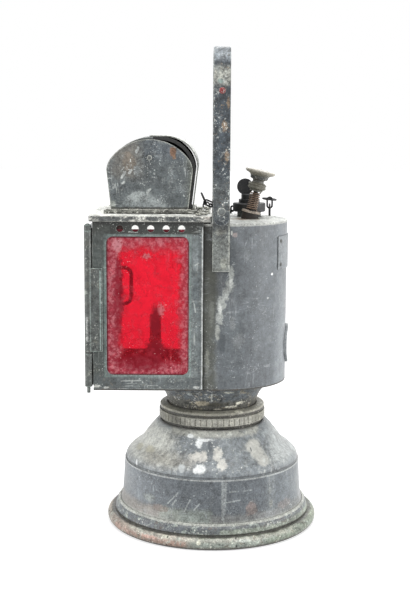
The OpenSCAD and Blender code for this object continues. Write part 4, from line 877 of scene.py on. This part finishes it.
use(drum_paint(), "chamber_drum")
use(shoulder_paint(), "chamber_shoulder")
use(neck_paint(), "neck_funnel")
use(foot_paint(), "foot_ring")
use(nut_paint(), "union_nut", "threaded_collar")
use(tank_paint(), "tank_shell")
use(plate_paint(), "back_plate", "round_plaque")
use(case_paint(), "case_shell")
use(door_paint(), "door_frame")
use(leaf_paint(), "hinge_leaf", "door_hinge_straps", "hinge_pin")
use(chimney_paint(), "chimney_near_plate", "chimney_rivets")
use(cover_paint(), "chimney_cover")
use(soot_and_shade_paint("flue_paint", 34, x=(-44, 0)), "chimney_flue")
use(soot_and_shade_paint("far_plate_paint", 35, y=(20, 28.9)), "chimney_far_plate")
use(handle_paint(), "handle")
use(bracket_paint(), "handle_brackets", "handle_rivets")
use(roof_paint(), "roof_plate")
use(seat_paint(), "chimney_seat")
use(tank_top_paint(), "tank_top")
use(plain("sooty_iron", (62, 62, 60), 9, (92, 74, 56), (128, 128, 122)),
    "foot_wire", "chamber_floor", "body_floor", "case_rear_wall")
use(plain("channel_iron", (84, 86, 84), 19, (104, 86, 66), (150, 152, 146)), "near_glass_channel",
    "far_glass_channel", "door_glass_clips", "pull_tab", "pull_ring", "back_plate_rivets", "filler_neck")
use(plain("black_iron", (24, 25, 28), 10, (52, 46, 42), (84, 86, 90), 0.42, edge=(92, 94, 98)),
    "filler_cap", "chain_and_rings")
use(plain("rubber", (30, 29, 28), 12, (48, 46, 42), (66, 64, 60), 0.8), "union_gasket", "cap_gasket")
use(plain("galvanised", (146, 148, 146), 13, (112, 112, 106), (186, 188, 184), 0.45, 0.35), "carbide_pot")
use(plain("tarnished_brass", (134, 112, 70), 11, (88, 72, 48), (186, 164, 112), 0.42, 0.6),
    "burner_socket", "burner_tube", "gas_pipe", "drip_seat", "drip_tube")
use(knob_paint(), "valve_knob")
use(plain("dull_brass", (116, 114, 104), 15, (84, 80, 68), (164, 160, 146)), "valve_collar", "spring_cup")
use(plain("copper_wire", (112, 90, 74), 18, (82, 62, 48), (176, 152, 130), 0.35, 0.2,
    grain=0.8, corner_shade_and_dirt=0.95), "valve_spring")
use(plain("rusty_steel", (40, 33, 28), 20, (40, 32, 27), (104, 84, 68), 0.6), "valve_stem", "valve_boss")
use(plain("pale_washer", (160, 148, 136), 21, (112, 92, 76), (214, 206, 196)), "gland_nut")
use(felt(), "gas_filter")
use(steatite(), "burner_tip")
use(bright_tin(), "reflector")
use(red_stud(), "handle_stud")


# Glass

def red_glass():
    """Red glass under a film of dust and soot, thick along its margins and wiped off its middle, with a band
    of painted shade inside its left margin.
    """
    t = Tree("red_glass")
    clear = t.add("BsdfGlass", {"Color": (0.9, 0.115, 0.185), "Roughness": 0.05, "IOR": 1.45}).outputs[0]
    x = t.axis("X")
    pane = -50
    fray = t.both(t.fray(7), 16)
    centre_x, centre_z = -46.8, 172
    side = t.math("ABSOLUTE", t.math("SUBTRACT", x, centre_x))
    tall = t.math("ABSOLUTE", t.math("SUBTRACT", t.axis("Z"), centre_z))
    # The wiped part is further right than left
    left = t.step(t.total(x, fray), -63, -71)
    right = t.step(t.total(x, fray), -27, -20)
    ends = t.step(t.total(tall, fray), 36, 46)
    margin = t.either(t.either(left, right), ends)
    fluff = t.step(t.noise(6, 5, 0.7, seed=21, warp=0.8), 0.46, 0.68)
    dust = t.both(margin, t.step(t.noise(3, 4, 0.7, seed=27), 0.42, 0.6))
    cloud = t.either(t.blot((-68.6, pane, 215.6), (4.2, 9, 6), 0.5),
        t.blot((-37.4, pane, 169.5), (3, 9, 5.6), 0.9, 1.4))
    cloud = t.either(cloud, t.blot((-47.5, pane, 208), (3.6, 9, 2.6), 1, 1.4))
    # Painted shade: a ragged band inside the left margin, where the far frame lies behind; soot: another
    # band along the bottom, and over the burner
    stain = t.either(t.blot((-68.2, pane, 176), (4.2, 9, 36), 0.8, 4),
        t.blot((-52, pane, 131), (22, 9, 8), 0.4, 4))
    burner = t.either(t.blot((-41.5, pane, 161), (4.6, 9, 15), 0.12, 1.4),
        t.blot((-41.5, pane, 141), (10, 9, 8), 0.25))
    spot = t.step(t.noise(1.3, 2, 0.5, seed=22), 0.67, 0.7)
    spot = t.both(spot, t.step(t.noise(13, 2, 0.5, seed=23), 0.5, 0.62))
    frame_line = t.either(t.step(side, 28.2, 28.9), t.step(tall, 48.8, 49.5))
    # Runs of water down the right side
    runs = t.step(t.noise(3.2, 4, 0.65, stretch=(1, 1, 0.09), seed=24, warp=0.5), 0.52, 0.66)
    runs = t.both(t.both(runs, t.step(t.noise(11, 3, 0.6, seed=29), 0.44, 0.6)), t.step(x, -38, -29))
    color = t.mix(margin, rgb(206, 40, 56), rgb(188, 72, 86))
    share = t.total(t.both(margin, 0.45), 0.17)
    # Each layer's mask, how strongly it colours the film, its colour, and how much thicker it makes the film
    for mask, strength, tone, thicker in (
        (fluff, 0.35, (222, 104, 116), 0.28),
        (dust, 0.7, (218, 138, 146), 0.2),
        (cloud, 0.6, (216, 160, 166), 0.4),
        (stain, 0.7, (128, 28, 42), 0.42),
        (burner, 0.8, (150, 40, 52), 0.35),
        (spot, 0.8, (240, 214, 212), 0.5),
        (frame_line, 0.75, (72, 30, 36), 0.4),
        (runs, 0.6, (220, 96, 110), 0.3),
    ):
        color = t.mix(t.both(mask, strength), color, rgb(*tone))
        share = t.total(share, t.both(mask, thicker), clamp=True)
    film = t.add("BsdfDiffuse", {"Color": color}).outputs[0]
    return t.surface(t.add("MixShader", {0: share, 1: clear, 2: film}).outputs[0])


def clear_glass():
    t = Tree("clear_glass")
    clear = t.add("BsdfGlass", {"Color": (0.96, 0.97, 0.96), "Roughness": 0.03, "IOR": 1.45}).outputs[0]
    film = t.add("BsdfDiffuse", {"Color": rgb(182, 180, 172)}).outputs[0]
    share = t.step(t.noise(9, 4, 0.6, seed=25), 0.4, 0.8, 0.03, 0.2)
    return t.surface(t.add("MixShader", {0: share, 1: clear, 2: film}).outputs[0])


# Solder, flashing and a dark clot: small lumps too rough for drawn solids

def lumps(name, mat, rows, seed, rough):
    """Rough lumps in one mesh on the lamp; each row is a centre and a half size in millimetres."""
    rng = random.Random(seed)
    mesh = bpy.data.meshes.new(name)
    bm = bmesh.new()
    for centre, half in rows:
        ball = bmesh.ops.create_icosphere(bm, subdivisions=3, radius=1)
        shift = Vector((rng.uniform(0, 50), rng.uniform(0, 50), rng.uniform(0, 50)))
        turn = Matrix.Rotation(rng.uniform(-0.35, 0.35), 3, "Y")
        for v in ball["verts"]:
            far = 1 + rough * noise.noise(v.co * 1.6 + shift) + rough * 0.5 * noise.noise(v.co * 4.1 + shift)
            v.co = Vector([c * h * far for c, h in zip(v.co, half)])
            v.co = (turn @ v.co + Vector(centre)) * MM
    for face in bm.faces:
        face.smooth = True
    bm.to_mesh(mesh)
    bm.free()
    mesh.materials.append(mat)
    piece = bpy.data.objects.new(name, mesh)
    bpy.context.scene.collection.objects.link(piece)
    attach(piece, "lamp")


def solder_paint():
    p = Paint("solder_paint", (176, 176, 166), 51, cloud=1.2, grain=1.8, fleck=1.2)
    p.stains((96, 94, 84), 0.7, 4, 0.52, 0.62)
    p.specks((232, 232, 226), 0.9, 1.2, 0.6, 7)
    p.specks((40, 39, 35), 0.8, 1.2, 0.62, 7, 3)
    p.corner_shade_and_dirt((26, 25, 22), 0.9, 3)
    return p.done(0.6, bump=0.9, soft=0.2, dent=1)


def dark_clot_paint():
    p = Paint("dark_clot_paint", (70, 48, 46), 53, cloud=1, grain=1.8, fleck=0.9)
    p.stains((38, 28, 28), 0.6, 4, 0.5, 0.62)
    p.specks((120, 100, 92), 0.6, 1, 0.62, 5)
    return p.done(0.9, bump=0.8, soft=0.2, dent=0.8)


def add_lumps():
    rng = random.Random(7)
    solder = solder_paint()
    # The ragged bead along the foot of the near plate
    foot_y, foot_z = -29.9, 239.5
    bead = []
    x, right_end = -76.5, -17
    while x < right_end:
        half = (rng.uniform(0.9, 2), rng.uniform(0.6, 1), rng.uniform(0.35, 0.75))
        bead.append(((x, foot_y + rng.uniform(-0.25, 0.2), foot_z + rng.uniform(-0.05, 0.15)), half))
        x += half[0] * 1.15
    lumps("chimney_foot_solder", solder, bead, 11, 0.35)
    # Torn flashing on the roof to the right of the chimney
    roof_z = 237.1
    torn = []
    for _ in range(26):
        place = (rng.uniform(-12.4, -3.8), rng.uniform(-44, 30), roof_z + rng.uniform(0, 0.5))
        torn.append((place, (rng.uniform(0.8, 2.6), rng.uniform(0.8, 3.2), rng.uniform(0.25, 0.8))))
    torn += [
        ((-15, -26.5, 239.9), (1.9, 1.4, 0.7)),
        ((-14.2, -21, 240.1), (1.2, 2.4, 0.8)),
        ((-9.6, -30, 237.6), (2.8, 1.8, 0.9)),
        ((-6.4, -36, 237.4), (2.2, 1.4, 0.7)),
    ]
    lumps("roof_flashing", solder, torn, 13, 0.5)
    # A dark brown clot behind the left-hand vent
    clot = [
        ((-66.6, -48.9, 228), (3.1, 0.5, 2.9)),
        ((-65, -48.8, 226.6), (1.6, 0.5, 1.4)),
        ((-68.2, -48.8, 229.2), (1.4, 0.5, 1.6)),
    ]
    lumps("vent_clot", dark_clot_paint(), clot, 17, 0.3)


add_lumps()
use(red_glass(), "near_glass")
use(clear_glass(), "far_glass", "door_glass")


# Smooth the CAD surfaces' shading without moving a point

def smooth_cad():
    sharp_from = math.radians(32)
    for node in NODES.values():
        mesh = node.data
        mesh.polygons.foreach_set("use_smooth", [True] * len(mesh.polygons))
        bpy.context.view_layer.objects.active = node
        node.select_set(True)
        bpy.ops.object.shade_smooth_by_angle(angle=sharp_from)
        node.select_set(False)


# Stage, lights and world

WHITE = (1, 1, 1)
BLACK = (0, 0, 0)


def make_floor():
    mesh = bpy.data.meshes.new("floor")
    half = 6
    corners = [(-half, -half, 0), (half, -half, 0), (half, half, 0), (-half, half, 0)]
    mesh.from_pydata(corners, [], [(0, 1, 2, 3)])
    floor = bpy.data.objects.new("floor", mesh)
    bpy.context.scene.collection.objects.link(floor)
    t = Tree("floor")
    pale = t.add("BsdfDiffuse", {"Color": (0.62, 0.62, 0.62)}).outputs[0]
    # The lit floor and its glow make white together; the glow grows where less light falls on the floor
    far = t.vector("LENGTH", t.add("TexCoord").outputs["Object"])
    near_glow, far_glow = 0.62, 1
    strength = t.step(far, 0.35, 1.6, near_glow, far_glow)
    glow = t.add("Emission", {"Color": WHITE, "Strength": strength}).outputs[0]
    black = t.add("Emission", {"Color": BLACK, "Strength": 0}).outputs[0]
    extra = t.add("MixShader", {0: t.seen(), 1: black, 2: glow}).outputs[0]
    mesh.materials.append(t.surface(t.add("AddShader", {0: pale, 1: extra}).outputs[0]))


def make_world():
    world = bpy.data.worlds.new("world")
    bpy.context.scene.world = world
    t = Tree("world", world)
    soft = t.add("Background", {"Color": WHITE, "Strength": 0.32}).outputs[0]
    white = t.add("Background", {"Color": WHITE, "Strength": 1}).outputs[0]
    t.surface(t.add("MixShader", {0: t.seen(), 1: soft, 2: white}).outputs[0])


def make_light(name, place, size, power, aim=(0, 0, 0.17)):
    """A square lamp; place, size and aim are in metres, power in watts."""
    data = bpy.data.lights.new(name, "AREA")
    data.shape = "SQUARE"
    data.size = size
    data.energy = power
    lamp = bpy.data.objects.new(name, data)
    lamp.location = place
    lamp.rotation_euler = (Vector(aim) - Vector(place)).to_track_quat("-Z", "Y").to_euler()
    bpy.context.scene.collection.objects.link(lamp)


smooth_cad()
make_floor()
make_world()
make_light("top", (0.0, -0.25, 1.75), 1.3, 20)
make_light("right", (1.6, -0.35, 0.55), 1.1, 15, (0, 0, 0.15))
make_light("left", (-1.6, -0.45, 0.55), 1.1, 16, (0, 0, 0.15))
make_light("front", (0.4, -2.0, 0.9), 1.2, 2.5)
make_light("back", (0.2, 1.5, 1.1), 1.1, 8)

bpy.context.scene.view_settings.view_transform = "Standard"
